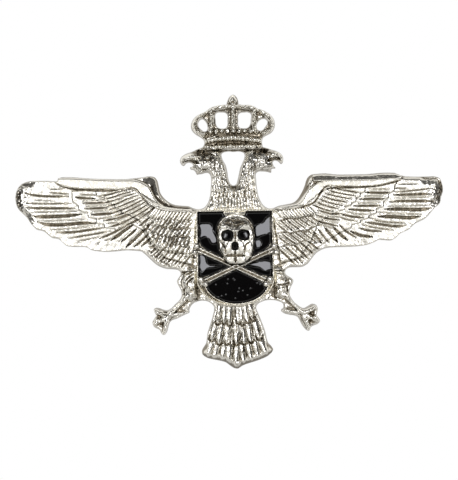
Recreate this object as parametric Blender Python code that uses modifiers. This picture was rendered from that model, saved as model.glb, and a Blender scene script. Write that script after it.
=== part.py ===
"""Cap badge: a double-headed eagle with an enamelled shield, on two screw posts.

Frame: metres, +Z up, the front faces -Y and the wings span X.  The back of the
eagle is the plane y = 0 and the posts point to +Y.  The origin is on that back
plane, on the centre line, and the two posts stand POST_Z above its height.  Outlines below are in millimetres, as
(x, z) seen from the front; depths are y in millimetres, so the front is negative.
"""
import math

import bmesh
import bpy

MM = 0.001
GAP = 0.05                  # clearance between pieces that touch in the real badge
MERGE = 1e-7                # weld distance, metres

# ---- depths (y, mm) ----
BACK = 0.0
PLATE_FRONT = -1.6
ROOT = -0.5                 # where raised relief starts, inside the plate
ROOT_STEP = 0.013           # each raised shape starts a little deeper, so no two backs are flush
SEAT = -2.0                 # face of the eagle that the shield sits on
TRAY_BACK = SEAT - GAP
TRAY_FLOOR = -2.75
RIM_FRONT = -4.0
ENAMEL_BACK = TRAY_FLOOR - GAP
ENAMEL_FRONT = -3.55
BONE_FRONT = -4.35
KNOB_FRONT = -4.95
SKULL_BACK = TRAY_FLOOR - GAP

# ---- screw posts ----
POST_X = 17.5
POST_Z = 2.0                # half way up the wing, so that the wing hides the nut
POST_R = 1.5
POST_END = 11.0
POST_CHAMFER = 0.35
FLANGE_R = 2.5
FLANGE_DEPTH = 0.6
WASHER_R = 5.5
WASHER_THICK = 0.6
NUT_R = 5.0
NUT_ROOT_R = 4.76
NUT_HUB_R = 3.0
NUT_THICK = 1.8
NUT_HUB_THICK = 0.9
KNURLS = 28
BORE_R = POST_R + GAP
CLOTH_GAP = 5.0             # back of the eagle to the washer, as stored

# ---- rivets under the shield ----
RIVET_R = 0.8
RIVET_HEAD_R = 1.3
RIVET_HEAD = 0.35
RIVET_X = 0.0
RIVET_Z = {"shield_rivet_upper": -2.6, "shield_rivet_lower": -10.3}

# ---- outlines (x, z, mm); a third value marks a sharp corner ----
CORNER = True
LEFT_WING = [
    (-5.5, 2.72), (-6.6, 2.8), (-7.6, 3.2), (-9.7, 3.42), (-11.2, 4.25), (-12.2, 5.6),
    (-12.55, 7.3), (-13.2, 8.1), (-15.0, 8.05), (-18.0, 7.8), (-24.5, 8.05), (-28.2, 8.25),
    (-28.95, 8.05, CORNER), (-29.1, 7.6, CORNER), (-33.0, 7.7), (-34.7, 7.35), (-35.6, 6.4),
    (-35.95, 5.1), (-35.6, 3.3), (-34.2, 1.8), (-32.6, -0.25), (-31.4, -0.6), (-30.0, -1.7),
    (-28.8, -1.98), (-27.6, -3.05), (-25.6, -3.22), (-24.3, -3.35), (-23.4, -3.85),
    (-20.0, -4.1), (-15.6, -4.1), (-14.6, -4.8), (-13.0, -6.3), (-11.4, -7.05), (-9.8, -7.2),
]
LEFT_LEG = [
    (-9.1, -7.55), (-9.05, -8.1), (-9.6, -9.0), (-9.35, -9.9), (-9.0, -10.6), (-8.95, -11.7),
    (-10.0, -12.9), (-11.1, -13.8), (-12.0, -13.7), (-13.0, -13.4), (-13.5, -13.75),
    (-13.15, -14.7), (-13.75, -15.75), (-13.45, -16.6), (-12.6, -17.05), (-12.15, -17.85),
    (-11.65, -17.8), (-11.2, -16.9), (-10.75, -15.7), (-9.7, -15.25), (-8.2, -14.55),
    (-7.65, -14.3, CORNER), (-7.65, -13.85, CORNER), (-7.2, -13.0), (-6.3, -12.5),
    (-5.2, -12.38), (-4.1, -12.8), (-3.6, -13.5),
]
TAIL = [
    (-3.75, -14.6), (-4.3, -16.4), (-4.75, -17.8), (-5.0, -19.4), (-5.65, -20.5),
    (-5.5, -21.3), (-4.0, -22.0), (-1.9, -22.5), (-0.85, -23.25), (0.1, -23.62),
    (0.9, -23.15), (2.0, -22.75), (4.4, -21.95), (5.7, -21.1), (6.0, -20.45), (5.2, -19.4),
    (4.8, -17.7), (4.1, -15.7), (3.6, -14.4),
]
RIGHT_LEG = [
    (3.35, -13.5), (4.1, -12.75), (5.6, -12.42), (7.0, -12.65), (7.75, -13.1),
    (7.75, -13.75, CORNER), (7.4, -14.05), (7.6, -14.45), (8.8, -14.9), (10.0, -15.2),
    (10.6, -16.2), (11.3, -17.25), (11.95, -17.55), (12.35, -16.9), (13.3, -16.5),
    (13.8, -15.9), (13.25, -15.0), (13.45, -14.2), (13.2, -13.35), (12.4, -13.15),
    (11.2, -13.8), (10.3, -13.4), (9.1, -12.1), (8.85, -11.2), (9.15, -10.2), (9.5, -9.25),
    (8.9, -8.65), (8.25, -8.15), (8.3, -7.5),
]
RIGHT_WING = [
    (9.1, -7.1), (11.0, -7.05), (12.1, -6.3), (13.1, -5.05), (14.2, -4.3), (15.4, -3.98),
    (18.0, -3.9), (21.4, -3.65), (22.8, -3.2), (23.7, -2.8), (25.4, -2.95), (26.4, -2.5),
    (27.1, -1.85), (28.6, -1.15), (29.6, -0.25), (31.0, 0.4), (32.0, 1.3), (32.9, 2.35),
    (33.75, 3.05), (33.95, 4.0), (34.3, 5.1), (34.1, 6.5), (33.6, 7.3), (32.0, 7.5),
    (28.4, 7.55), (27.2, 7.85), (26.2, 8.2), (22.0, 8.05), (17.0, 8.05), (13.0, 8.15),
    (12.1, 7.6), (11.6, 6.3), (10.9, 4.85), (9.9, 3.65), (8.6, 3.28), (7.2, 3.02),
    (6.3, 2.68), (5.3, 2.78),
]
RIGHT_HEAD = [
    (4.4, 3.7), (3.85, 5.4), (3.65, 7.4), (3.7, 8.5), (4.6, 8.72), (6.1, 8.5, CORNER),
    (6.2, 9.1, CORNER), (6.85, 9.2, CORNER), (6.4, 10.1), (6.7, 10.45), (7.4, 10.2),
    (7.8, 9.88), (8.12, 10.5), (8.0, 11.3), (7.2, 11.95), (6.2, 12.3), (5.3, 12.62),
    (4.85, 12.75, CORNER),
]
CROWN = [
    (4.7, 13.5), (4.95, 14.3), (6.2, 15.0), (6.85, 16.2), (6.5, 17.6), (5.3, 18.6),
    (4.1, 19.05), (2.9, 19.65), (1.5, 19.72), (0.95, 19.85, CORNER), (0.85, 20.5), (0.45, 21.2),
    (0.0, 21.4), (-0.45, 21.15), (-0.9, 20.4), (-1.1, 19.8, CORNER), (-2.2, 19.7), (-3.6, 19.35),
    (-4.6, 18.65), (-5.9, 18.05), (-6.8, 17.0), (-6.85, 15.7), (-6.0, 14.8), (-5.0, 14.1),
    (-4.8, 13.4),
]
LEFT_HEAD = [
    (-5.1, 12.85, CORNER), (-5.9, 12.55), (-6.9, 12.1), (-8.2, 11.6), (-8.82, 10.8),
    (-8.6, 10.0), (-8.2, 9.8), (-7.8, 10.2), (-7.1, 10.28), (-6.7, 9.85),
    (-7.2, 9.55, CORNER), (-7.1, 9.2, CORNER), (-6.5, 9.0), (-6.1, 8.35, CORNER), (-5.2, 8.45),
    (-4.3, 8.6), (-3.85, 8.1), (-3.85, 6.2), (-4.1, 4.4), (-4.7, 3.2),
]
NECK_OPENING = [
    (-2.0, 11.5), (-1.6, 11.95), (0.0, 12.0), (1.5, 11.9), (1.8, 11.4), (1.45, 10.3),
    (1.0, 9.2), (0.6, 7.5), (0.25, 6.65), (-0.3, 6.55), (-0.8, 7.2), (-1.05, 8.6),
    (-1.35, 9.9),
]
CROWN_OPENINGS = [
    [(-5.2, 17.4), (-4.7, 17.2), (-4.25, 16.2), (-4.5, 15.45), (-5.2, 15.7), (-5.75, 16.6)],
    [(-2.8, 18.3), (-2.0, 18.5), (-1.05, 18.25), (-0.95, 17.2), (-1.15, 16.05), (-2.0, 15.88),
     (-2.65, 16.2), (-2.85, 17.3)],
    [(0.95, 18.2), (1.8, 18.45), (2.85, 18.25), (2.9, 17.4), (2.55, 16.1), (1.7, 15.88),
     (0.95, 16.1), (0.85, 17.2)],
    [(5.0, 17.35), (5.6, 16.9), (5.2, 16.0), (4.6, 15.45), (3.95, 15.7), (4.0, 16.7)],
]

# ---- the raised relief: (path of (x, z, half width), front depth) ----
WING_BARS = [
    ([(-7.3, 2.3, 0.4), (-9.3, 2.85, 0.4), (-11.3, 3.3, 0.5), (-13.0, 4.2, 0.75),
      (-14.2, 5.9, 0.85), (-15.6, 6.85, 0.75), (-20.0, 6.85, 0.75), (-25.0, 7.05, 0.8),
      (-28.3, 7.5, 0.4)], -3.45),
    ([(7.2, 2.6, 0.3), (9.3, 2.85, 0.35), (11.2, 3.45, 0.5), (12.9, 4.6, 0.75),
      (13.9, 6.1, 0.75), (15.6, 6.6, 0.6), (20.0, 6.6, 0.6), (25.0, 6.9, 0.55),
      (26.9, 7.3, 0.3)], -3.45),
]
WING_PANELS = [
    ([(-7.2, 1.9), (-11.0, 2.9), (-13.9, 4.6), (-15.5, 6.3), (-25.0, 6.4), (-33.6, 6.7),
      (-34.7, 5.2), (-33.8, 2.6), (-31.6, 0.3), (-28.0, -1.6), (-24.0, -2.9), (-15.3, -3.5),
      (-12.4, -5.9), (-8.2, -6.5)], -2.3),
    ([(7.2, 2.1), (11.0, 2.8), (13.2, 4.2), (14.8, 6.2), (25.0, 6.4), (31.5, 6.3),
      (32.8, 5.0), (32.4, 2.9), (30.4, 0.8), (27.2, -1.4), (23.4, -2.3), (15.0, -3.3),
      (11.6, -6.2), (8.2, -6.4)], -2.3),
]
COVERT_PANELS = [
    ([(-7.4, 1.6), (-11.2, 2.4), (-14.4, 4.2), (-16.2, 5.7), (-20.0, 5.3), (-20.6, 3.9),
      (-18.4, 2.2), (-15.5, -0.6), (-12.6, -3.2), (-8.0, -4.9)], -2.75),
    ([(7.4, 1.8), (11.2, 2.5), (13.6, 4.0), (15.2, 5.8), (20.4, 5.2), (19.6, 3.4),
      (16.6, 1.9), (14.0, -0.6), (11.0, -2.6), (7.9, -4.2)], -2.75),
]
# each primary feather as (root, tip), in order from the leading edge down
PRIMARIES = [
    ((-23.6, 5.5), (-33.8, 5.7)), ((-23.2, 4.6), (-34.3, 4.7)), ((-22.8, 3.6), (-33.8, 3.7)),
    ((-22.4, 2.6), (-33.0, 2.75)), ((-21.9, 1.7), (-32.3, 1.6)), ((-21.4, 0.8), (-31.4, 0.5)),
    ((-20.9, -0.1), (-29.8, -0.75)), ((-19.9, -0.9), (-27.6, -1.9)),
    ((-18.6, -1.5), (-25.2, -2.7)),
    ((22.6, 5.7), (31.4, 5.8)), ((22.4, 4.7), (32.2, 4.7)), ((22.1, 3.7), (32.2, 3.7)),
    ((21.8, 2.7), (31.9, 2.7)), ((21.4, 1.75), (30.9, 1.6)), ((20.9, 0.8), (29.6, 0.5)),
    ((20.3, -0.05), (28.0, -0.8)), ((19.5, -0.9), (25.9, -1.9)), ((18.5, -1.6), (23.2, -2.6)),
]
PRIMARY_HALF = 0.3
PRIMARY_FRONT = -2.95

NECKS = [
    ([(-3.9, 3.4), (-3.4, 5.0), (-3.4, 8.6), (-4.2, 9.6), (-5.6, 10.0), (-7.6, 11.1),
      (-5.6, 11.9), (-3.6, 12.0), (-2.5, 11.2), (-1.6, 8.6), (-1.2, 6.6), (-0.6, 4.0)], -3.1),
    ([(3.8, 3.4), (3.3, 5.0), (3.2, 8.6), (4.2, 9.6), (5.4, 10.2), (7.2, 11.2), (5.4, 12.0),
      (3.4, 12.1), (2.3, 11.2), (1.3, 8.6), (0.9, 6.6), (0.5, 4.0)], -3.1),
    ([(-3.9, 2.9), (3.9, 2.9), (3.6, 5.3), (0.0, 5.9), (-3.6, 5.3)], -3.2),
]
CROWN_BANDS = [
    ([(-4.3, 13.7, 0.35), (-2.2, 14.1, 0.35), (0.0, 14.25, 0.35), (2.2, 14.1, 0.35),
      (4.3, 13.7, 0.35)], -2.75),
    ([(-4.6, 15.2, 0.3), (-2.2, 15.5, 0.3), (0.0, 15.6, 0.3), (2.2, 15.5, 0.3),
      (4.5, 15.2, 0.3)], -2.9),
    ([(-3.2, 12.5, 0.25), (0.0, 12.75, 0.25), (3.2, 12.5, 0.25)], -2.4),
    ([(-4.9, 14.7, 0.3), (-6.2, 15.6, 0.3), (-6.3, 16.8, 0.3), (-5.2, 17.9, 0.3),
      (-3.6, 18.9, 0.3), (-1.6, 19.25, 0.3), (0.0, 19.3, 0.3), (1.6, 19.25, 0.3),
      (3.6, 18.9, 0.3), (5.2, 18.0, 0.3), (6.3, 16.8, 0.3), (6.2, 15.6, 0.3),
      (4.9, 14.7, 0.3)], -2.65),
    ([(-3.7, 15.5, 0.3), (-3.6, 17.2, 0.3), (-3.6, 18.7, 0.3)], -2.8),
    ([(0.0, 15.8, 0.3), (0.0, 17.4, 0.3), (0.0, 20.6, 0.3)], -2.85),
    ([(3.5, 15.5, 0.3), (3.5, 17.2, 0.3), (3.6, 18.7, 0.3)], -2.8),
]
LEGS = [
    ([(-7.3, -8.0, 0.7), (-8.0, -9.6, 0.7), (-7.4, -11.0, 0.8), (-7.9, -11.9, 0.6),
      (-9.3, -13.3, 0.4), (-10.8, -14.5, 0.35), (-12.2, -15.3, 0.5), (-13.1, -16.0, 0.3)], -3.05),
    ([(-11.2, -14.5, 0.3), (-12.2, -14.2, 0.3), (-13.0, -13.9, 0.25)], -2.7),
    ([(-11.4, -15.3, 0.3), (-11.6, -16.4, 0.3), (-11.9, -17.4, 0.2)], -2.7),
    ([(7.3, -8.1, 0.7), (8.2, -9.4, 0.7), (7.5, -10.8, 0.8), (8.0, -11.9, 0.6),
      (9.3, -13.1, 0.4), (10.8, -14.4, 0.35), (12.1, -15.2, 0.5), (13.1, -15.9, 0.3)], -3.05),
    ([(11.2, -14.4, 0.3), (12.2, -13.9, 0.3), (12.9, -13.7, 0.25)], -2.7),
    ([(11.2, -15.2, 0.3), (11.6, -16.3, 0.3), (11.85, -17.1, 0.2)], -2.7),
]
TAIL_FEATHERS = 9
TAIL_FAN = ((0.0, -13.2), 2.55, (0.05, -21.2), 4.55)     # root centre, half width, tip ...
TAIL_HALF = 0.25
TAIL_FRONT = -2.9
TAIL_SAG = 1.1              # how far the middle feathers reach below the outer ones

# ---- shield ----
SHIELD_TOP = 2.55
SHIELD_HALF = 6.4
SHIELD_TURN = -8.9          # where the straight sides end
SHIELD_BOTTOM = -13.35
RIM_WIDTH = 0.5
TAB = [(-2.1, 2.3), (2.1, 2.3), (1.6, 1.3), (-1.6, 1.3)]

# ---- skull and bones ----
SKULL = [
    (0.1, 1.72), (1.5, 1.4), (2.6, 0.5), (3.05, -0.8), (3.1, -2.6), (3.0, -3.9), (2.6, -5.1),
    (2.0, -5.9), (1.1, -6.35), (-0.6, -6.35), (-1.5, -5.9), (-2.0, -5.0), (-2.5, -4.0),
    (-2.75, -2.8), (-2.9, -1.0), (-2.5, 0.4), (-1.4, 1.4),
]
EYES = {"left": (-1.2, -1.78, 0.8, 0.8), "right": (1.32, -1.68, 0.86, 0.74)}   # x, z, rx, rz
NOSE = (-0.02, -3.45, 0.5, 0.62)
SKULL_DOME = (0.1, -2.3, 3.6, 5.6, 3.75)       # centre x, z and radii x, z, y
BONES = [((-6.35, -3.75), (5.45, -9.35)), ((6.4, -3.95), (-5.4, -9.3))]
BONE_HALF = 0.46
KNOB_R = 0.56
KNOB_SPREAD = 0.5           # each knob's offset across the bone
FLANK_TOP = -4.3            # enamel fields are named by the height of their middle
BASE_TOP = -8.0
FIELD_MIN_WIDTH = 2.0


# ---------------------------------------------------------------- helpers
def collection(name):
    made = bpy.data.collections.new(name)
    bpy.context.scene.collection.children.link(made)
    return made


def place(obj, group):
    """Put an object in one collection only."""
    for old in list(obj.users_collection):
        old.objects.unlink(obj)
    group.objects.link(obj)
    return obj


def as_tool(obj, group):
    """Keep an object for a Boolean only."""
    obj.hide_render = True
    obj.display_type = 'WIRE'
    return place(obj, group)


def evaluated_mesh(obj):
    bpy.context.view_layer.update()
    graph = bpy.context.evaluated_depsgraph_get()
    return bpy.data.meshes.new_from_object(obj.evaluated_get(graph))


def freeze(obj, name):
    """A mesh object with the evaluated, welded shape of obj, which is removed."""
    mesh = evaluated_mesh(obj)
    work = bmesh.new()
    work.from_mesh(mesh)
    bmesh.ops.remove_doubles(work, verts=work.verts, dist=MERGE)
    work.to_mesh(mesh)
    work.free()
    place_in_world = obj.matrix_world.copy()
    bpy.data.objects.remove(obj)
    made = bpy.data.objects.new(name, mesh)
    made.matrix_world = place_in_world
    bpy.context.scene.collection.objects.link(made)
    return made


def flat(name, outlines, back, front, smooth=True, resolution=2):
    """Outlines in the XZ plane, filled and given a depth from back to front."""
    curve = bpy.data.curves.new(name, 'CURVE')
    curve.dimensions = '2D'
    curve.fill_mode = 'BOTH'
    curve.extrude = abs(back - front) / 2 * MM
    curve.resolution_u = resolution
    for outline in outlines:
        spline = curve.splines.new('BEZIER' if smooth else 'POLY')
        if smooth:
            spline.bezier_points.add(len(outline) - 1)
            for point, spot in zip(spline.bezier_points, outline):
                point.co = (spot[0] * MM, spot[1] * MM, 0.0)
                kind = 'VECTOR' if len(spot) > 2 else 'AUTO'
                point.handle_left_type = kind
                point.handle_right_type = kind
        else:
            spline.points.add(len(outline) - 1)
            for point, spot in zip(spline.points, outline):
                point.co = (spot[0] * MM, spot[1] * MM, 0.0, 1.0)
        spline.use_cyclic_u = True
    obj = bpy.data.objects.new(name + "_curve", curve)
    bpy.context.scene.collection.objects.link(obj)
    obj.rotation_euler = (math.pi / 2, 0.0, 0.0)
    obj.location = (0.0, (back + front) / 2 * MM, 0.0)
    return freeze(obj, name)


def strip(path, extra=0.0):
    """The outline of a band along a path of (x, z, half width)."""
    left, right = [], []
    for index, (x, z, half) in enumerate(path):
        before = path[max(index - 1, 0)]
        after = path[min(index + 1, len(path) - 1)]
        dx, dz = after[0] - before[0], after[1] - before[1]
        size = math.hypot(dx, dz)
        nx, nz = -dz / size * (half + extra), dx / size * (half + extra)
        left.append((x + nx, z + nz))
        right.append((x - nx, z - nz))
    return left + right[::-1]


def ellipse(x, z, rx, rz, count=16):
    angles = [2 * math.pi * i / count for i in range(count)]
    return [(x + rx * math.cos(a), z + rz * math.sin(a)) for a in angles]


def turned(name, profile, x=0.0, z=0.0, steps=32, closed=False):
    """Turn a profile of (radius, y) about the Y direction through (x, z)."""
    mesh = bpy.data.meshes.new(name)
    count = len(profile)
    edges = [(i, i + 1) for i in range(count - 1)] + ([(count - 1, 0)] if closed else [])
    mesh.from_pydata([(r * MM, 0.0, y * MM) for r, y in profile], edges, [])
    obj = bpy.data.objects.new(name, mesh)
    bpy.context.scene.collection.objects.link(obj)
    screw = obj.modifiers.new("Turn", 'SCREW')
    screw.steps = screw.render_steps = steps
    screw.use_merge_vertices = True
    screw.merge_threshold = MERGE
    obj.rotation_euler = (-math.pi / 2, 0.0, 0.0)
    obj.location = (x * MM, 0.0, z * MM)
    return obj


def boolean(obj, tool, operation):
    """Add an exact Boolean with one object or with every object of a collection."""
    made = obj.modifiers.new(operation.title(), 'BOOLEAN')
    made.operation = operation
    made.solver = 'EXACT'
    if isinstance(tool, bpy.types.Collection):
        made.operand_type = 'COLLECTION'
        made.collection = tool
    else:
        made.object = tool
    return made


def merge_flats(obj):
    """Merge the small triangles that Booleans leave on flat faces."""
    made = obj.modifiers.new("Flats", 'DECIMATE')
    made.decimate_type = 'DISSOLVE'
    made.angle_limit = math.radians(0.2)


def material(name, colour, metallic, roughness):
    made = bpy.data.materials.new(name)
    made.use_nodes = True
    shader = made.node_tree.nodes["Principled BSDF"]
    shader.inputs["Base Color"].default_value = (*colour, 1.0)
    shader.inputs["Metallic"].default_value = metallic
    shader.inputs["Roughness"].default_value = roughness
    return made


def finish(obj, group, look, round_piece=False):
    place(obj, group)
    obj.data.materials.clear()
    obj.data.materials.append(look)
    if round_piece:
        obj.data.shade_smooth()
        obj.data.set_sharp_from_angle(angle=math.radians(35))
    return obj


# ---------------------------------------------------------------- shared outlines
def shield_outline(inset=0.0, steps=10):
    """Straight top and sides, and a bottom that is half of an ellipse."""
    half = SHIELD_HALF - inset
    top = SHIELD_TOP - inset
    drop = SHIELD_TURN - SHIELD_BOTTOM - inset
    angles = [math.pi * i / steps for i in range(steps + 1)]
    bottom = [(half * math.cos(a), SHIELD_TURN - drop * math.sin(a)) for a in angles]
    return [(-half, top), (half, top)] + bottom


def bone_path(bone):
    """A bone's centre line and half width, waisted in the middle."""
    (x0, z0), (x1, z1) = bone
    spots = [(0.0, 1.15), (0.12, 0.95), (0.5, 0.9), (0.88, 0.95), (1.0, 1.15)]
    return [(x0 + (x1 - x0) * t, z0 + (z1 - z0) * t, BONE_HALF * wide) for t, wide in spots]


def knobs(bone, extra=0.0):
    """The two round knobs on each end of a bone."""
    (x0, z0), (x1, z1) = bone
    size = math.hypot(x1 - x0, z1 - z0)
    nx, nz = -(z1 - z0) / size * KNOB_SPREAD, (x1 - x0) / size * KNOB_SPREAD
    ends = [(x0, z0), (x1, z1)]
    return [ellipse(x + s * nx, z + s * nz, KNOB_R + extra, KNOB_R + extra, 8)
            for x, z in ends for s in (-1, 1)]


# ---------------------------------------------------------------- the pieces
def eagle(parts, relief, cuts, look):
    silhouette = (LEFT_WING + LEFT_LEG + TAIL + RIGHT_LEG + RIGHT_WING + RIGHT_HEAD + CROWN
                  + LEFT_HEAD)
    body = flat("eagle_casting", [silhouette, NECK_OPENING] + CROWN_OPENINGS, BACK, PLATE_FRONT)
    raised = [(strip(path), front) for path, front in WING_BARS + CROWN_BANDS + LEGS]
    raised += WING_PANELS + COVERT_PANELS + NECKS
    for root, tip in PRIMARIES:
        path = [(*root, PRIMARY_HALF), (*tip, PRIMARY_HALF * 0.7)]
        raised.append((strip(path), PRIMARY_FRONT))
    (root_x, root_z), root_half, (tip_x, tip_z), tip_half = TAIL_FAN
    for index in range(TAIL_FEATHERS):
        across = 2 * index / (TAIL_FEATHERS - 1) - 1
        low = tip_z - TAIL_SAG * (1 - across ** 2)
        path = [(root_x + across * root_half, root_z, TAIL_HALF * 0.6),
                (tip_x + across * tip_half, low, TAIL_HALF)]
        raised.append((strip(path), TAIL_FRONT))
    raised.append((shield_outline(-0.35), SEAT - 0.3))
    for index, (outline, front) in enumerate(raised):
        root_depth = ROOT - ROOT_STEP * index
        as_tool(flat("relief", [outline], root_depth, front, smooth=False), relief)
    pocket = flat("shield_pocket", [shield_outline(-GAP)], SEAT, SEAT - 4.0, smooth=False)
    as_tool(pocket, cuts)
    for x in (-POST_X, POST_X):
        recess = [(0.0, 1.0), (FLANGE_R + GAP, 1.0), (FLANGE_R + GAP, -FLANGE_DEPTH - GAP),
                  (0.0, -FLANGE_DEPTH - GAP)]
        as_tool(turned("flange_recess", recess, x, POST_Z), cuts)
    for z in RIVET_Z.values():
        hole = [(0.0, 1.0), (RIVET_HEAD_R + GAP, 1.0), (RIVET_HEAD_R + GAP, 0.0),
                (RIVET_R + GAP, -RIVET_HEAD - GAP), (RIVET_R + GAP, -3.0), (0.0, -3.0)]
        as_tool(turned("rivet_hole", hole, RIVET_X, z, 24), cuts)
    boolean(body, relief, 'UNION')
    boolean(body, cuts, 'DIFFERENCE')
    merge_flats(body)
    return finish(body, parts, look)


def shield_tray(parts, tools, look):
    tray = flat("shield_tray", [shield_outline()], TRAY_BACK, RIM_FRONT, smooth=False)
    well = flat("well", [shield_outline(RIM_WIDTH)], TRAY_FLOOR, RIM_FRONT - 1.0, smooth=False)
    boolean(tray, as_tool(well, tools), 'DIFFERENCE')
    tab = flat("tab", [TAB], TRAY_FLOOR + 0.3, RIM_FRONT + 0.2, smooth=False)
    boolean(tray, as_tool(tab, tools), 'UNION')
    clearance = flat("tab_clearance", [grown(SKULL, GAP)], SKULL_BACK + GAP, -7.0)
    boolean(tray, as_tool(clearance, tools), 'DIFFERENCE')
    for z in RIVET_Z.values():
        hole = [(0.0, -1.0), (RIVET_R + GAP, -1.0), (RIVET_R + GAP, TRAY_FLOOR + RIVET_HEAD + GAP),
                (RIVET_HEAD_R + GAP, TRAY_FLOOR), (RIVET_HEAD_R + GAP, TRAY_FLOOR - 0.5),
                (0.0, TRAY_FLOOR - 0.5)]
        boolean(tray, as_tool(turned("tray_hole", hole, RIVET_X, z, 24), tools), 'DIFFERENCE')
    return finish(tray, parts, look)


def grown(outline, amount):
    """An outline moved outwards by about amount, along its points' normals."""
    made = []
    count = len(outline)
    area = sum(outline[i - 1][0] * outline[i][1] - outline[i][0] * outline[i - 1][1]
               for i in range(count))
    sign = 1.0 if area > 0 else -1.0
    for index in range(count):
        x0, z0 = outline[index - 1][:2]
        x1, z1 = outline[(index + 1) % count][:2]
        size = math.hypot(x1 - x0, z1 - z0)
        shift = sign * amount / size
        made.append((outline[index][0] + (z1 - z0) * shift, outline[index][1] - (x1 - x0) * shift))
    return made


def crossbones(parts, tools, look):
    bones = flat("crossbones", [strip(bone_path(BONES[0]))], ENAMEL_BACK, BONE_FRONT)
    other = flat("bone", [strip(bone_path(BONES[1]))], ENAMEL_BACK, BONE_FRONT + 0.07)
    boolean(bones, as_tool(other, tools), 'UNION')
    for index, bone in enumerate(BONES):
        for number, outline in enumerate(knobs(bone)):
            front = KNOB_FRONT + 0.03 * (index + number)
            knob = flat("knob", [outline], RIM_FRONT + 1.0, front, smooth=False)
            boolean(bones, as_tool(knob, tools), 'UNION')
    frame = [(-9.0, 5.0), (9.0, 5.0), (9.0, -16.0), (-9.0, -16.0)]
    rim = flat("rim_clearance", [frame, shield_outline(RIM_WIDTH + GAP)], -1.0,
               RIM_FRONT - GAP, smooth=False)
    boolean(bones, as_tool(rim, tools), 'DIFFERENCE')
    return finish(bones, parts, look)


def skull(parts, tools, look):
    openings = [ellipse(*eye) for eye in EYES.values()] + [ellipse(*NOSE)]
    head = flat("skull", [SKULL], SKULL_BACK, -7.0)
    for outline in openings:
        socket = flat("socket", [outline], SKULL_BACK + 1.0, -8.0, smooth=False)
        boolean(head, as_tool(socket, tools), 'DIFFERENCE')
    x, z, rx, rz, ry = SKULL_DOME
    bpy.ops.mesh.primitive_uv_sphere_add(segments=28, ring_count=16, radius=1.0)
    dome = bpy.context.active_object
    dome.name = "dome"
    dome.scale = (rx * MM, ry * MM, rz * MM)
    dome.location = (x * MM, (SKULL_BACK + 0.35) * MM, z * MM)
    boolean(head, as_tool(dome, tools), 'INTERSECT')
    for bone in BONES:
        channel = flat("channel", [strip(bone_path(bone), GAP)], ENAMEL_BACK + 1.0,
                       BONE_FRONT - GAP)
        boolean(head, as_tool(channel, tools), 'DIFFERENCE')
    split = flat("jaw_split", [[(-0.16, -4.5), (0.2, -4.5), (0.2, -7.0), (-0.16, -7.0)]], -5.3,
                 -8.0, smooth=False)
    boolean(head, as_tool(split, tools), 'DIFFERENCE')
    return finish(head, parts, look, round_piece=True)


def enamel(parts, tools, look):
    """Five fields between the bones, and the black in the eyes and the nose."""
    fill = flat("enamel", [shield_outline(RIM_WIDTH + GAP)], ENAMEL_BACK, ENAMEL_FRONT,
                smooth=False)
    blockers = [flat("block", [strip(bone_path(bone), GAP)], -1.0, -6.0) for bone in BONES]
    blockers += [flat("block", [outline], -1.0, -6.0, smooth=False)
                 for bone in BONES for outline in knobs(bone, GAP)]
    blockers.append(flat("block", [grown(SKULL, GAP)], -1.0, -6.0))
    blockers.append(flat("block", [grown(TAB, GAP)], -1.0, -6.0, smooth=False))
    for block in blockers:
        boolean(fill, as_tool(block, tools), 'DIFFERENCE')
    whole = freeze(fill, "enamel_fields")
    for name, mesh in field_meshes(whole).items():
        finish(bpy.data.objects.new(name, mesh), parts, look)
    bpy.data.objects.remove(whole)
    for side, (x, z, rx, rz) in EYES.items():
        eye = flat("enamel_eye_" + side, [ellipse(x, z, rx - GAP, rz - GAP)], ENAMEL_BACK,
                   ENAMEL_FRONT, smooth=False)
        finish(eye, parts, look)
    x, z, rx, rz = NOSE
    nose = flat("enamel_nose", [ellipse(x, z, rx - GAP, rz - GAP)], ENAMEL_BACK, ENAMEL_FRONT,
                smooth=False)
    finish(nose, parts, look)


def field_meshes(whole):
    """Split the fill into its separate bodies and name each one by its place.

    Slivers left between a knob and the rim are dropped.
    """
    work = bmesh.new()
    work.from_mesh(whole.data)
    work.transform(whole.matrix_world)
    work.verts.ensure_lookup_table()
    left_over = set(work.verts)
    fields = {}
    while left_over:
        group, queue = set(), [left_over.pop()]
        while queue:
            vert = queue.pop()
            group.add(vert)
            near = [edge.other_vert(vert) for edge in vert.link_edges]
            queue += [other for other in near if other in left_over]
            left_over.difference_update(near)
        x = sum(vert.co.x for vert in group) / len(group) / MM
        z = sum(vert.co.z for vert in group) / len(group) / MM
        width = max(vert.co.x for vert in group) - min(vert.co.x for vert in group)
        if width < FIELD_MIN_WIDTH * MM:
            continue
        side = "left" if x < 0 else "right"
        height = "chief_" if z > FLANK_TOP else "flank_"
        name = "enamel_base" if z < BASE_TOP else "enamel_" + height + side
        copy = work.copy()
        copy.verts.ensure_lookup_table()
        kept = {vert.index for vert in group}
        spare = [vert for vert in copy.verts if vert.index not in kept]
        bmesh.ops.delete(copy, geom=spare, context='VERTS')
        mesh = bpy.data.meshes.new(name)
        copy.to_mesh(mesh)
        copy.free()
        fields[name] = mesh
    work.free()
    return fields


def rivets(parts, look):
    for name, z in RIVET_Z.items():
        back, front = BACK - 0.02, TRAY_FLOOR + 0.02
        profile = [(0.0, back), (RIVET_HEAD_R, back), (RIVET_R, back - RIVET_HEAD),
                   (RIVET_R, front + RIVET_HEAD), (RIVET_HEAD_R, front), (0.0, front)]
        finish(turned(name, profile, RIVET_X, z, 24), parts, look, round_piece=True)


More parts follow.
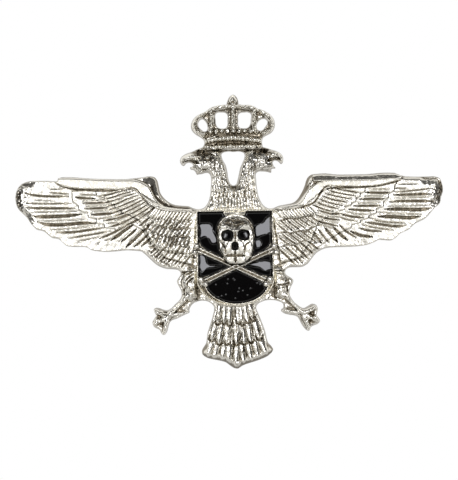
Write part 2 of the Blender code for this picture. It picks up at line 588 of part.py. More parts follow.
def fastener(side, x, parts, looks):
    """A post, its washer and its knurled nut."""
    seat = BACK - 0.02
    profile = [(0.0, POST_END), (POST_R - POST_CHAMFER, POST_END),
               (POST_R, POST_END - POST_CHAMFER), (POST_R, seat), (FLANGE_R, seat),
               (FLANGE_R, -FLANGE_DEPTH), (0.0, -FLANGE_DEPTH)]
    finish(turned("stud_" + side, profile, x, POST_Z), parts, looks["steel"], round_piece=True)
    front, back = CLOTH_GAP, CLOTH_GAP + WASHER_THICK
    ring = [(WASHER_R, back), (WASHER_R, front), (BORE_R, front), (BORE_R, back)]
    finish(turned("washer_" + side, ring, x, POST_Z, steps=40, closed=True), parts, looks["steel"],
           round_piece=True)
    knurl(side, x, back + GAP, parts, looks["brass"])


def knurl(side, x, front, parts, look):
    """A round nut with a knurled edge and a plain hub behind it."""
    rim = []
    for tooth in range(KNURLS):
        for share, radius in ((0.0, NUT_ROOT_R), (0.5, NUT_R)):
            angle = 2 * math.pi * (tooth + share) / KNURLS
            rim.append((x + radius * math.cos(angle), POST_Z + radius * math.sin(angle)))
    name = "nut_" + side
    nut = flat(name, [rim], front + NUT_THICK, front, smooth=False)
    nut_tools = bpy.data.collections["cutters"]
    hub_end = front + NUT_THICK + NUT_HUB_THICK
    hub = [(0.0, hub_end), (NUT_HUB_R - 0.2, hub_end), (NUT_HUB_R, hub_end - 0.2),
           (NUT_HUB_R, front + 0.5), (0.0, front + 0.5)]
    boolean(nut, as_tool(turned("hub", hub, x, POST_Z), nut_tools), 'UNION')
    bore = [(0.0, 20.0), (BORE_R, 20.0), (BORE_R, 1.0), (0.0, 1.0)]
    boolean(nut, as_tool(turned("bore", bore, x, POST_Z), nut_tools), 'DIFFERENCE')
    made = freeze(nut, name)
    set_origin(made, (x * MM, 0.0, POST_Z * MM))
    finish(made, parts, look)


def set_origin(obj, spot):
    """Move an object's origin to a world position and leave its shape where it is."""
    for vert in obj.data.vertices:
        vert.co = obj.matrix_world @ vert.co
    obj.rotation_euler = (0.0, 0.0, 0.0)
    obj.location = spot
    for vert in obj.data.vertices:
        vert.co = (vert.co[0] - spot[0], vert.co[1] - spot[1], vert.co[2] - spot[2])


def main():
    for obj in list(bpy.data.objects):
        bpy.data.objects.remove(obj)
    parts = collection("cap_badge")
    relief = collection("relief")
    cuts = collection("casting_cutters")
    tools = collection("cutters")
    looks = {
        "silver": material("silver_plate", (0.72, 0.70, 0.62), 1.0, 0.3),
        "bright": material("bright_plate", (0.82, 0.80, 0.72), 1.0, 0.22),
        "enamel": material("black_enamel", (0.01, 0.01, 0.012), 0.0, 0.06),
        "steel": material("post_steel", (0.6, 0.6, 0.6), 1.0, 0.35),
        "brass": material("nut_brass", (0.75, 0.6, 0.33), 1.0, 0.35),
    }
    shield_tray(parts, tools, looks["silver"])
    crossbones(parts, tools, looks["bright"])
    skull(parts, tools, looks["bright"])
    enamel(parts, tools, looks["enamel"])
    rivets(parts, looks["steel"])
    for side, x in (("left", -POST_X), ("right", POST_X)):
        fastener(side, x, parts, looks)
    eagle(parts, relief, cuts, looks["silver"])


main()
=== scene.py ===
"""The looks of the cap badge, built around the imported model.

Outlines below are in millimetres as (x, z), seen from the front.  Relief is a
height field: heights are millimetres in front of the eagle's flat back.
"""
import math

import bmesh
import bpy
import numpy as np
from mathutils import Matrix, Vector


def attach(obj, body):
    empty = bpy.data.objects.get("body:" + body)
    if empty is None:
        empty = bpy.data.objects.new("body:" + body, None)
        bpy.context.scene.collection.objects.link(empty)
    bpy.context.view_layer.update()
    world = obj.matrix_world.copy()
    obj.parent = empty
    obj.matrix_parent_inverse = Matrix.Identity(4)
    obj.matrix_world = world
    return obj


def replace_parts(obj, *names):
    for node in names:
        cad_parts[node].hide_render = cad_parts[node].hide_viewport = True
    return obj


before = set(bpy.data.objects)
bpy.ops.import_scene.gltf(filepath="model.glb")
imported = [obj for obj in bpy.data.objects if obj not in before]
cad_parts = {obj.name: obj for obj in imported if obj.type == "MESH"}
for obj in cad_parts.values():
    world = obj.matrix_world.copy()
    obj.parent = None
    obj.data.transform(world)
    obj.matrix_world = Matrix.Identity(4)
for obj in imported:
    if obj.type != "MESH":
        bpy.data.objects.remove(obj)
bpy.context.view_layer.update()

MM = 0.001
CASTING_STEP = 0.08         # grid spacing of the eagle's relief
FINE_STEP = 0.06            # grid spacing of the shield, bones, skull and enamel
REACH = 2.2                 # distances to the outline are known up to here
EDGE = 0.12                 # upright part of the wall at the very outline
LINE_ENDS = 0.25            # share of an engraved line's length that tapers at each end
FEATHER_TIP = 0.45          # share of a feather's length that is rounded off
TERRACE_SOFT = 0.08         # half width of the step round a raised area
PLAIN_OXIDE_AND_SHADE = 0.7          # the value of the dark oxide and painted shade layer on walls and backs
CIRCLE_STEPS = 40           # corners of a round pocket, post or solder fillet
WASHER_STEPS = 72
RANDOM = np.random.default_rng(11)


# ---------------------------------------------------------------- height fields
def smooth_path(points, parts=6):
    """Points on a smooth curve through all the given points, with any extra values."""
    spots = np.array(points, float)
    ends = np.vstack([2 * spots[0] - spots[1], spots, 2 * spots[-1] - spots[-2]])
    made = []
    for index in range(len(spots) - 1):
        a, b, c, d = ends[index:index + 4]
        for share in np.arange(parts) / parts:
            made.append(0.5 * (2 * b + (c - a) * share + (2 * a - 5 * b + 4 * c - d) * share ** 2
                               + (3 * b - a - 3 * c + d) * share ** 3))
    made.append(spots[-1])
    return np.array(made)


def smooth_loop(points, parts=3):
    """A smooth loop through all the given points, closed by a straight last piece."""
    spots = [tuple(p[:2]) for p in points]
    closed = spots[-1:] + spots + spots[:2]
    path = smooth_path(closed, parts)
    return [tuple(p) for p in path[parts:-2 * parts + 1]]


def turned_oval(dx, dz, rx, rz, degrees):
    """Offsets from a turned oval's centre, in units of its two half sizes."""
    cos, sin = math.cos(math.radians(degrees)), math.sin(math.radians(degrees))
    return (dx * cos + dz * sin) / rx, (dz * cos - dx * sin) / rz


def ramp(values, wide=1.0):
    """Values scaled by a width and kept between 0 and 1."""
    return np.clip(values / wide, 0, 1)


def eased(amount, share):
    """An amount that sets in softly as the share goes from 0 to 1."""
    return amount * share ** 2 * (3 - 2 * share)


class Relief:
    """Heights over a regular grid of (x, z)."""

    def __init__(self, low, high, step):
        self.step = step
        self.xs = np.arange(low[0], high[0] + step, step)
        self.zs = np.arange(low[1], high[1] + step, step)
        self.x, self.z = np.meshgrid(self.xs, self.zs)
        self.h = np.zeros_like(self.x)
        self.cut = np.zeros_like(self.x)
        self.inside = np.full_like(self.x, -REACH)

    def window(self, points, margin):
        """The part of the grid around some points, as slices for its rows and columns."""
        spots = np.array([p[:2] for p in points], float)
        low = (spots.min(0) - margin - (self.xs[0], self.zs[0])) / self.step
        high = (spots.max(0) + margin - (self.xs[0], self.zs[0])) / self.step
        i0, j0 = np.clip(low.astype(int), 0, None)
        i1, j1 = np.clip(high.astype(int) + 2, 1, None)
        return slice(j0, j1), slice(i0, i1)

    def near_path(self, points, reach):
        """Around a path: the window, distance, side, share along it and the points' third value."""
        spots = np.array(points, float)
        win = self.window(spots, reach)
        x, z = self.x[win], self.z[win]
        best = np.full(x.shape, 1e3)
        side, share, value = np.zeros_like(x), np.zeros_like(x), np.zeros_like(x)
        sizes = np.hypot(*(spots[1:, :2] - spots[:-1, :2]).T)
        total, done = sizes.sum(), 0.0
        for a, b, size in zip(spots[:-1], spots[1:], sizes):
            if size < 1e-6:
                continue
            dx, dz = b[0] - a[0], b[1] - a[1]
            t = ramp(((x - a[0]) * dx + (z - a[1]) * dz) / size ** 2)
            away = np.hypot(x - a[0] - t * dx, z - a[1] - t * dz)
            near = away < best
            best = np.where(near, away, best)
            side = np.where(near, np.sign(dx * (z - a[1]) - dz * (x - a[0])), side)
            share = np.where(near, (done + t * size) / total, share)
            if spots.shape[1] > 2:
                value = np.where(near, a[2] + t * (b[2] - a[2]), value)
            done += size
        return win, best, side, share, value

    def signed(self, loops, reach):
        """Distance to closed loops, positive inside them, no larger than reach."""
        far = np.full(self.x.shape, reach)
        odd = np.zeros(self.x.shape, bool)
        for loop in loops:
            for a, b in zip(loop, list(loop[1:]) + [loop[0]]):
                win, away, _, _, _ = self.near_path([a, b], reach)
                far[win] = np.minimum(far[win], away)
                low, high = min(a[1], b[1]), max(a[1], b[1])
                rows = np.nonzero((self.zs >= low) & (self.zs < high))[0]
                for row in rows:
                    cross = a[0] + (self.zs[row] - a[1]) / (b[1] - a[1]) * (b[0] - a[0])
                    odd[row, np.searchsorted(self.xs, cross):] ^= True
        return np.where(odd, far, -far)

    def blur(self, values, sigma):
        """A Gaussian blur that only mixes points inside the outline."""
        weight = (self.inside > 0).astype(float)
        size = self.x.shape
        rise = np.fft.fftfreq(size[0], self.step)[:, None]
        run = np.fft.rfftfreq(size[1], self.step)[None, :]
        kernel = np.exp(-2 * (math.pi * sigma) ** 2 * (rise ** 2 + run ** 2))
        top = np.fft.irfft2(np.fft.rfft2(values * weight) * kernel, size)
        low = np.fft.irfft2(np.fft.rfft2(weight) * kernel, size)
        return top / np.maximum(low, 0.02)

    def spread(self, values, sigma):
        """A Gaussian blur over the whole grid."""
        kept, self.inside = self.inside, np.ones_like(self.x)
        soft = self.blur(values, sigma)
        self.inside = kept
        return soft

    def noise(self, scale, seed):
        """Smooth seeded noise with a spread of one."""
        soft = self.spread(np.random.default_rng(seed).standard_normal(self.x.shape), scale)
        return soft / soft.std()

    def between(self, low_x, high_x, low_z, high_z):
        """Which points lie in a rectangle."""
        return (self.x > low_x) & (self.x < high_x) & (self.z > low_z) & (self.z < high_z)

    # ---- shapes
    def groove(self, points, width, depth):
        """Engrave a line that tapers to nothing at its ends."""
        path = smooth_path(points, 4)
        win, away, _, share, _ = self.near_path(path, width * 1.6)
        taper = ramp(np.minimum(share, 1 - share) / LINE_ENDS + 0.15) ** 0.6
        line = depth * taper * np.exp(-(away / (width * 0.5 * taper + 1e-3)) ** 4 * 0.7)
        self.cut[win] = np.maximum(self.cut[win], line)

    def grooves(self, first, last, count, width, depth):
        """Engrave a family of lines between two guide lines, every other one finer."""
        first, last = np.array(first, float), np.array(last, float)
        for index in range(count):
            share = index / (count - 1)
            size = 0.6 if index % 2 else 1
            wobble = RANDOM.normal(0, 0.03, first.shape)
            self.groove(first + (last - first) * share + wobble, width * size, depth * size)

    def ridge(self, points, rise, round_off=2.0, lean=0.0):
        """Raise a rounded bar along (x, z, half width), leaning up by a slope."""
        path = smooth_path(points, 5)
        reach = path[:, 2].max() + 0.1
        win, away, side, _, half = self.near_path(path, reach)
        across = ramp(away, np.maximum(half, 1e-3))
        shape = (1 - across ** round_off) ** 0.5
        self.lift(win, rise * shape - lean * side * away, across < 1)

    def lift(self, win, amount, where):
        """Raise over the ground, without adding to what was raised before."""
        raised = self.ground[win] + amount
        self.h[win] = np.where(where, np.maximum(self.h[win], raised), self.h[win])

    def dome(self, x, z, rx, rz, rise, angle=0.0, power=2.0):
        """Raise a round or oval lump."""
        reach = max(rx, rz)
        win = self.window([(x, z)], reach)
        u, v = turned_oval(self.x[win] - x, self.z[win] - z, rx, rz, angle)
        r = np.abs(u) ** power + np.abs(v) ** power
        self.lift(win, rise * np.sqrt(ramp(1 - r)), r < 1)

    def leaf(self, root, tip, half, rise, hollow, power, shingle):
        """Lay one feather or scale over the ground, from its root to its tip."""
        win = self.window([root, tip], half + 0.1)
        x, z = self.x[win] - root[0], self.z[win] - root[1]
        run = tip - root
        size = math.hypot(*run)
        along = (x * run[0] + z * run[1]) / size ** 2
        signed = (z * run[0] - x * run[1]) / size / half
        across = np.abs(signed)
        end = ramp((along - (1 - FEATHER_TIP)) / FEATHER_TIP)
        wide = np.sqrt(np.clip(1 - end ** 2, 1e-4, 1))
        t = across / wide
        body = (along > 0) & (along < 1) & (t < 1)
        shape = np.sqrt(ramp(1 - t ** power)) - hollow * np.exp(-(t / 0.42) ** 2)
        shape = shape - shingle * ramp(signed + 0.1)
        shape = shape * (0.55 + 0.45 * ramp(along))
        self.h[win] = np.where(body, self.ground[win] + rise * shape, self.h[win])

    def leaves(self, roots, tips, count, half, rise, hollow, jitter, power, shingle, outline):
        """A row of feathers between a line of roots and a line of tips."""
        roots, tips = smooth_path(roots, 8), smooth_path(tips, 8)
        for index in range(count):
            share = (index + 0.5) / count
            ends = []
            for line in (roots, tips):
                at = share * (len(line) - 1)
                low = min(int(at), len(line) - 2)
                spot = line[low] + (line[low + 1] - line[low]) * (at - low)
                ends.append(spot[:2] + RANDOM.normal(0, jitter, 2))
            root, tip = ends
            self.leaf(root, tip, half, rise * RANDOM.uniform(0.85, 1.15), hollow, power, shingle)
            if outline:
                run = (tip - root) / math.hypot(*(tip - root))
                side = half * np.array([-run[1], run[0]])
                self.groove([tip - side - 0.7 * run, tip - 0.7 * side - 0.15 * run, tip + 0.1 * run,
                             tip + 0.7 * side - 0.15 * run, tip + side - 0.7 * run], 0.26, outline)

    def terrace(self, outline, rise):
        """Raise an area with a soft step at its edge."""
        area = self.signed([outline], TERRACE_SOFT * 3)
        self.h += rise * ramp(area / TERRACE_SOFT * 0.5 + 0.5)


# ---------------------------------------------------------------- meshes
def boundary_edges(quads, count):
    """Directed edges that only one quad uses."""
    a = quads.ravel()
    b = np.roll(quads, -1, axis=1).ravel()
    forward, backward = a.astype(np.int64) * count + b, b.astype(np.int64) * count + a
    alone = ~np.isin(forward, backward)
    return np.stack([a[alone], b[alone]], 1)


def build_mesh(name, verts, faces, smooth, layers, marks=None):
    """A mesh object from arrays: faces, smooth flags, float layers and material numbers."""
    mesh = bpy.data.meshes.new(name)
    sizes = np.concatenate([np.full(len(f), f.shape[1]) for f in faces])
    corners = np.concatenate([f.ravel() for f in faces])
    mesh.vertices.add(len(verts))
    mesh.vertices.foreach_set("co", verts.astype(np.float32).ravel())
    mesh.loops.add(len(corners))
    mesh.loops.foreach_set("vertex_index", corners.astype(np.int32))
    mesh.polygons.add(len(sizes))
    starts = np.cumsum(sizes) - sizes
    mesh.polygons.foreach_set("loop_start", starts.astype(np.int32))
    mesh.polygons.foreach_set("loop_total", sizes.astype(np.int32))
    mesh.update(calc_edges=True)
    mesh.polygons.foreach_set("use_smooth", smooth)
    if marks is not None:
        mesh.polygons.foreach_set("material_index", marks.astype(np.int32))
    for label, values in layers.items():
        layer = mesh.attributes.new(label, 'FLOAT', 'POINT')
        layer.data.foreach_set("value", values.astype(np.float32))
    mesh.validate()
    obj = bpy.data.objects.new(name, mesh)
    bpy.context.scene.collection.objects.link(obj)
    return obj


def fill_flat(points, edges):
    """Triangles that fill closed loops in the XZ plane, with holes left open."""
    work = bmesh.new()
    verts = [work.verts.new((x, 0.0, z)) for x, z in points]
    work.verts.index_update()
    made = [work.edges.new((verts[a], verts[b])) for a, b in edges]
    bmesh.ops.triangle_fill(work, edges=made, use_beauty=False, normal=(0, 1, 0))
    triangles = []
    for face in work.faces:
        face.normal_update()
        order = [v.index for v in face.verts]
        triangles.append(order if face.normal.y > 0 else order[::-1])
    work.free()
    return np.array(triangles, int)


def cell_means(values):
    """The mean of a field over the four corners of each cell."""
    return (values[:-1, :-1] + values[1:, 1:] + values[1:, :-1] + values[:-1, 1:]) / 4


def relief_object(name, field, back, oxide_and_painted_shade=None, part=None, recesses=()):
    """A closed body: the field's surface over some cells, upright walls and a flat back.

    recesses are (x, z, radius, depth) of round pockets in the back.
    """
    cells = cell_means(field.inside) > 0
    if part is not None:
        cells &= part
    number = np.arange(field.x.size).reshape(field.x.shape)
    corners = np.stack([number[:-1, :-1], number[:-1, 1:], number[1:, 1:], number[1:, :-1]], -1)
    used, quads = np.unique(corners[cells], return_inverse=True)
    quads = quads.reshape(-1, 4)
    count = len(used)
    rim = boundary_edges(quads, count)
    rise, run = np.gradient(field.inside, field.step)
    x, z, deep, front, rise, run = [values.ravel()[used] for values in
                                    (field.x, field.z, field.inside, field.h, rise, run)]
    slope = np.maximum(rise ** 2 + run ** 2, 0.2)
    snap = np.zeros(count, bool)
    snap[rim.ravel()] = True
    snap &= deep < 0.9 * field.step
    x = np.where(snap, x - deep * run / slope, x)
    z = np.where(snap, z - deep * rise / slope, z)
    lowest = back + EDGE
    front = np.where(snap, np.minimum(front, lowest + 0.3), front)
    front = np.maximum(front, lowest)
    ring = np.unique(rim.ravel())
    position = np.full(count, -1)
    position[ring] = np.arange(len(ring))
    back_points = [np.stack([x[ring], z[ring]], 1)]
    back_edges = [position[rim]]
    pockets = []
    start = len(ring)
    for px, pz, radius, depth in recesses:
        turn = np.arange(CIRCLE_STEPS) * 2 * math.pi / CIRCLE_STEPS
        back_points.append(np.stack([px + radius * np.cos(turn), pz + radius * np.sin(turn)], 1))
        index = start + np.arange(CIRCLE_STEPS)
        back_edges.append(np.stack([index, np.roll(index, -1)], 1))
        pockets.append((index, depth))
        start += CIRCLE_STEPS
    flat_points = np.concatenate(back_points)
    triangles = fill_flat(flat_points, np.concatenate(back_edges)) + count
    verts = np.concatenate([
        np.stack([x, -front, z], 1),
        np.stack([flat_points[:, 0], np.full(len(flat_points), -back), flat_points[:, 1]], 1)])
    walls_round = [rim[:, 1], rim[:, 0], position[rim[:, 0]] + count, position[rim[:, 1]] + count]
    faces = [quads, np.stack(walls_round, 1), triangles]
    smooth = [np.ones(len(quads), bool), np.zeros(len(rim) + len(triangles), bool)]
    for index, depth in pockets:
        top = index + count
        base = len(verts) + np.arange(len(index))
        floor = verts[top].copy()
        floor[:, 1] = -back - depth
        verts = np.concatenate([verts, floor, floor.mean(0, keepdims=True)])
        middle = np.full(len(index), base[-1] + 1)
        faces.append(np.stack([np.roll(top, -1), top, base, np.roll(base, -1)], 1))
        faces.append(np.stack([np.roll(base, -1), base, middle], 1))
        smooth += [np.ones(len(index), bool), np.zeros(len(index), bool)]
    layers = {}
    if oxide_and_painted_shade is not None:
        rest = np.full(len(verts) - count, PLAIN_OXIDE_AND_SHADE)
        layers["oxide_and_painted_shade"] = np.concatenate([oxide_and_painted_shade.ravel()[used], rest])
    marks = np.arange(sum(len(f) for f in faces)) >= len(quads) + len(rim)
    return build_mesh(name, verts * MM, faces, np.concatenate(smooth), layers, marks)


def flat_loops(node, side, digits):
    """The outlines of a CAD node's flat back (side 1) or front (side -1) in mm, and its level."""
    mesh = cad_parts[node].data
    level = side * max(side * v.co.y for v in mesh.vertices)
    spots = [(round(v.co.x / MM, digits), round(v.co.z / MM, digits)) for v in mesh.vertices]
    edges = set()
    for face in mesh.polygons:
        if all(abs(mesh.vertices[i].co.y - level) < 1e-6 for i in face.vertices):
            ring = [spots[i] for i in face.vertices]
            edges.update(zip(ring, ring[1:] + ring[:1]))
    follow = {a: b for a, b in edges if (b, a) not in edges and a != b}
    loops = []
    while follow:
        first, at = next(iter(follow.items()))
        loop = [first]
        del follow[first]
        while at != first and at in follow:
            loop.append(at)
            at = follow.pop(at)
        loops.append(loop)
    return loops, level


# ---------------------------------------------------------------- the eagle's artwork
# Each wing: the smooth bar along its leading edge as (x, z, half width), then the steps
# between the layers of feathers, then the engraved lines.
LEFT_BAR = [(-7.2, 2.4, 0.25), (-9.3, 2.5, 0.28), (-11.2, 2.8, 0.36), (-12.6, 3.4, 0.55),
            (-13.8, 4.5, 0.8), (-14.75, 5.9, 0.98), (-16.4, 6.75, 0.85), (-20.0, 6.85, 0.8),
            (-25.0, 7.1, 0.88), (-27.4, 7.35, 0.75), (-29.0, 7.6, 0.35)]
RIGHT_BAR = [(7.2, 2.65, 0.28), (9.2, 2.8, 0.32), (10.7, 3.25, 0.5), (11.9, 4.2, 0.75),
             (13.0, 5.3, 0.85), (14.3, 6.15, 0.82), (16.2, 6.55, 0.66), (20.0, 6.5, 0.62),
             (23.5, 6.7, 0.58), (26.9, 7.3, 0.35)]
LEFT_MIDDLE = [(-26.5, 5.9), (-26.5, 5.2), (-26.4, 4.2), (-25.5, 3.5), (-25.4, 2.9), (-24.9, 2.5),
               (-23.9, 2.4), (-23.9, 1.6), (-22.6, 1.4), (-22.6, 0.6), (-21.3, 0.4), (-21.2, -0.1),
               (-19.6, -0.3), (-19.4, -0.7), (-17.0, 0.5), (-15.0, -0.6), (-14.0, -2.4),
               (-12.0, -5.0), (-7.0, -6.4), (-6.0, 2.2), (-12.0, 3.2), (-15.0, 5.2), (-16.5, 6.2)]
LEFT_INNER = [(-22.6, 5.8), (-22.4, 5.0), (-21.2, 4.9), (-21.2, 4.4), (-20.6, 4.3), (-20.5, 3.8),
              (-19.6, 3.7), (-19.5, 3.0), (-18.5, 2.8), (-18.4, 2.2), (-17.5, 2.0), (-15.6, 1.0),
              (-14.6, -0.6), (-13.4, -2.6), (-11.4, -5.2), (-7.0, -6.4), (-6.2, 2.0),
              (-12.0, 3.0), (-14.8, 5.0), (-16.4, 6.1)]
RIGHT_MIDDLE = [(26.6, 6.6), (26.2, 5.9), (26.1, 5.2), (25.2, 4.7), (25.1, 4.0), (24.3, 3.4),
                (24.4, 2.7), (23.1, 2.3), (23.1, 1.6), (22.0, 1.3), (21.8, 0.8), (20.6, 0.5),
                (20.4, 0.0), (19.1, -0.2), (19.0, -0.7), (17.4, -1.4), (15.0, -2.8), (12.0, -5.0),
                (7.4, -6.4), (6.2, 2.2), (11.5, 3.1), (14.0, 5.0), (15.0, 5.6), (20.0, 5.8),
                (23.5, 6.0)]
RIGHT_INNER = [(21.4, 5.8), (21.3, 5.1), (20.6, 4.9), (20.5, 4.3), (19.9, 4.2), (19.8, 3.5),
               (19.1, 3.3), (19.0, 2.9), (18.0, 2.8), (18.0, 2.3), (16.9, 2.0), (15.4, 1.2),
               (13.6, 0.2), (12.4, -2.8), (10.6, -5.4), (7.4, -6.2), (6.2, 2.0), (11.4, 3.0),
               (13.8, 4.8), (15.0, 5.6)]
# engraved lines: (width, depth, points)
WING_LINES = [
    # left wing, under the bar and between the long feathers
    (0.20, 0.40, [(-28.6, 7.05), (-27.5, 6.5), (-25, 6.15), (-23, 5.95), (-20, 5.85), (-18, 6.1),
                  (-16.3, 6.2), (-15.2, 5.1), (-14.6, 4.3), (-13.5, 3.6), (-12.2, 3.1)]),
    (0.12, 0.15, [(-30.5, 6.25), (-27.5, 6.3)]),
    (0.18, 0.30, [(-30.3, 5.75), (-27, 5.45)]),
    (0.24, 0.45, [(-34.3, 5.8), (-33, 5.4), (-31, 5.15), (-27, 5.05)]),
    (0.12, 0.15, [(-32.8, 4.55), (-29, 4.35)]),
    (0.18, 0.30, [(-34.1, 4.1), (-32, 3.95), (-26.5, 3.9)]),
    (0.27, 0.50, [(-34, 3.35), (-32, 3.2), (-26, 3.1)]),
    (0.14, 0.20, [(-33.5, 2.55), (-28, 2.6), (-25, 2.7)]),
    (0.38, 0.65, [(-33, 1.95), (-31.5, 1.8), (-28, 1.85), (-25.0, 2.1)]),
    (0.14, 0.20, [(-32.4, 1.15), (-28, 1.15), (-24, 1.35)]),
    (0.38, 0.65, [(-32.2, 1.0), (-30.5, 0.5), (-28, 0.45), (-25, 0.65), (-22.6, 0.6)]),
    (0.16, 0.22, [(-30.3, -0.35), (-27, -0.2), (-24, 0.1), (-22.5, 0.2)]),
    (0.26, 0.45, [(-29.3, -0.8), (-26.5, -0.8), (-24, -0.5), (-21.3, -0.15)]),
    (0.20, 0.32, [(-27.2, -1.8), (-25, -1.45), (-22, -1.0), (-20, -0.65)]),
    (0.14, 0.18, [(-26.0, -2.3), (-23.5, -1.9), (-21.5, -1.5)]),
    # the inner edges of both wings' bars
    (0.55, 0.40, [(-12.9, 5.0), (-12.4, 4.3), (-11.6, 3.65), (-10.5, 3.2), (-8.4, 2.95),
                  (-6.8, 2.7)]),
    (0.30, 0.25, [(12.9, 7.6), (12.4, 6.5), (11.7, 5.4), (10.9, 4.5), (9.9, 3.7), (8.4, 3.25)]),
    # left wing, middle feathers
    (0.30, 0.50, [(-26, 4.95), (-24.5, 4.7), (-22.7, 4.6)]),
    (0.16, 0.22, [(-25.5, 5.35), (-22.6, 5.2)]),
    (0.20, 0.30, [(-25, 4.3), (-22, 4.35)]),
    (0.24, 0.42, [(-24.8, 3.95), (-22.8, 3.9), (-21, 4.0)]),
    (0.16, 0.22, [(-24.5, 3.45), (-21, 3.55)]),
    (0.24, 0.42, [(-24.5, 3.0), (-20.5, 3.1)]),
    (0.16, 0.22, [(-23.5, 2.55), (-20, 2.8)]),
    (0.30, 0.50, [(-23.4, 2.0), (-19.5, 2.2)]),
    (0.16, 0.25, [(-23, 1.35), (-21.5, 1.4), (-18.5, 2.0)]),
    (0.26, 0.42, [(-21.5, 1.0), (-19, 1.4), (-17, 2.0)]),
    (0.18, 0.28, [(-21.0, 0.5), (-19, 0.8), (-17, 1.5)]),
    (0.26, 0.45, [(-20.4, 0.0), (-18.5, 0.5), (-16.8, 1.3)]),
    # left wing, lower feathers
    (0.25, 0.45, [(-22.2, -1.9), (-20.5, -1.3), (-18.5, -0.3), (-17, 0.6)]),
    (0.36, 0.60, [(-20.2, -2.2), (-19, -1.4), (-17.8, -0.5), (-16.5, 0.3)]),
    (0.28, 0.50, [(-18.6, -2.5), (-17.3, -1.5), (-16, -0.4)]),
    (0.36, 0.60, [(-17.8, -3.4), (-16.3, -2.0), (-15, -0.8), (-14.2, -0.3)]),
    (0.26, 0.45, [(-16.5, -3.4), (-15.2, -2.3), (-14, -1.2)]),
    (0.26, 0.45, [(-15.3, -3.3), (-14, -2.2), (-13, -1.3)]),
    (0.14, 0.20, [(-21.5, -2.3), (-20, -1.8), (-18.6, -0.9)]),
    (0.14, 0.20, [(-19.2, -2.6), (-18, -1.7), (-16.8, -0.6)]),
    (0.14, 0.20, [(-17.2, -2.4), (-16, -1.3), (-15, -0.4)]),
    # right wing, under the bar and between the long feathers
    (0.20, 0.40, [(26.8, 6.8), (25, 6.3), (23, 6.0), (20, 5.9), (16.5, 6.05), (15, 6.05),
                  (14.2, 5.2), (13.6, 4.2), (13, 3.5), (12, 3.0), (10.7, 2.7), (8.5, 2.4)]),
    (0.12, 0.15, [(26.5, 6.25), (30.5, 6.25)]),
    (0.16, 0.25, [(26.3, 5.6), (28.5, 5.55)]),
    (0.20, 0.32, [(26, 5.0), (28, 5.1), (32.3, 5.5)]),
    (0.30, 0.50, [(26, 4.5), (32, 4.6)]),
    (0.18, 0.26, [(26, 4.05), (32.4, 4.15)]),
    (0.30, 0.50, [(25.3, 3.35), (27.5, 3.5), (32.6, 3.4)]),
    (0.14, 0.18, [(24.5, 2.75), (32, 2.75)]),
    (0.40, 0.65, [(24.5, 2.2), (27, 2.2), (30, 2.05), (32.2, 2.3)]),
    (0.18, 0.26, [(23.2, 1.75), (26, 1.5), (30.8, 1.3)]),
    (0.40, 0.65, [(23.4, 1.05), (26, 0.95), (28.5, 0.75), (30.3, 0.95)]),
    (0.20, 0.32, [(21.8, 0.9), (24, 0.2), (28, -0.1)]),
    (0.30, 0.50, [(21.2, 0.15), (23.5, -0.2), (26, -0.6), (28, -0.5)]),
    (0.20, 0.30, [(20.6, -0.2), (23, -0.8), (26, -1.2)]),
    (0.26, 0.42, [(20.2, -0.8), (22, -1.25), (24, -1.4)]),
    (0.34, 0.55, [(18.8, -1.3), (20.5, -2.0), (22.5, -2.3)]),
    # right wing, middle feathers
    (0.16, 0.22, [(21.8, 5.5), (25.6, 5.5)]),
    (0.28, 0.48, [(21.4, 5.0), (23.5, 4.9), (25.6, 4.9)]),
    (0.16, 0.22, [(21, 4.4), (24.8, 4.4)]),
    (0.26, 0.45, [(20.4, 3.9), (22.5, 3.9), (24.8, 3.9)]),
    (0.16, 0.22, [(20, 3.3), (24, 3.35)]),
    (0.26, 0.45, [(19.4, 2.8), (21.5, 2.8), (24, 2.8)]),
    (0.28, 0.48, [(18.6, 2.3), (20.5, 2.1), (22.8, 2.0)]),
    (0.16, 0.22, [(18, 1.9), (20, 1.5), (22, 1.4)]),
    (0.26, 0.45, [(17.2, 1.6), (19, 1.1), (21.2, 0.9)]),
    (0.18, 0.26, [(16.6, 1.2), (18.4, 0.6), (20.2, 0.3)]),
    # right wing, lower feathers
    (0.34, 0.55, [(16, -0.5), (17, -1.6), (18.4, -2.8)]),
    (0.26, 0.42, [(17, -0.2), (18.2, -1.3), (19.8, -2.4)]),
    (0.34, 0.55, [(14.6, -0.6), (15.6, -1.8), (16.8, -3.1)]),
    (0.26, 0.42, [(13.6, -0.9), (14.4, -2.0), (15.4, -3.2)]),
    (0.26, 0.45, [(12.6, -1.0), (13.4, -2.2), (14.2, -3.4)]),
    # left wing, the step above its lobe
    (0.16, 0.32, [(-13.6, -3.2), (-12.4, -3.5), (-11.2, -4.1), (-9.8, -4.2), (-8.4, -4.6),
                  (-6.9, -4.5)]),
    # right wing, the steps between the bands on its shoulder
    (0.16, 0.32, [(6.4, 0.7), (7.6, 0.6), (8.8, 0.9), (10.2, 0.8), (11.4, 1.15), (12.8, 1.25)]),
    (0.16, 0.32, [(6.6, -1.5), (8.2, -1.3), (9.2, -1.5), (10.4, -1.15), (11.6, -1.2), (12.6, -0.6),
                  (14.2, -0.1)]),
    (0.16, 0.32, [(7.0, -3.8), (8.4, -3.4), (9.6, -3.5), (10.8, -2.9), (12.0, -2.6), (12.9, -2.1)]),
]
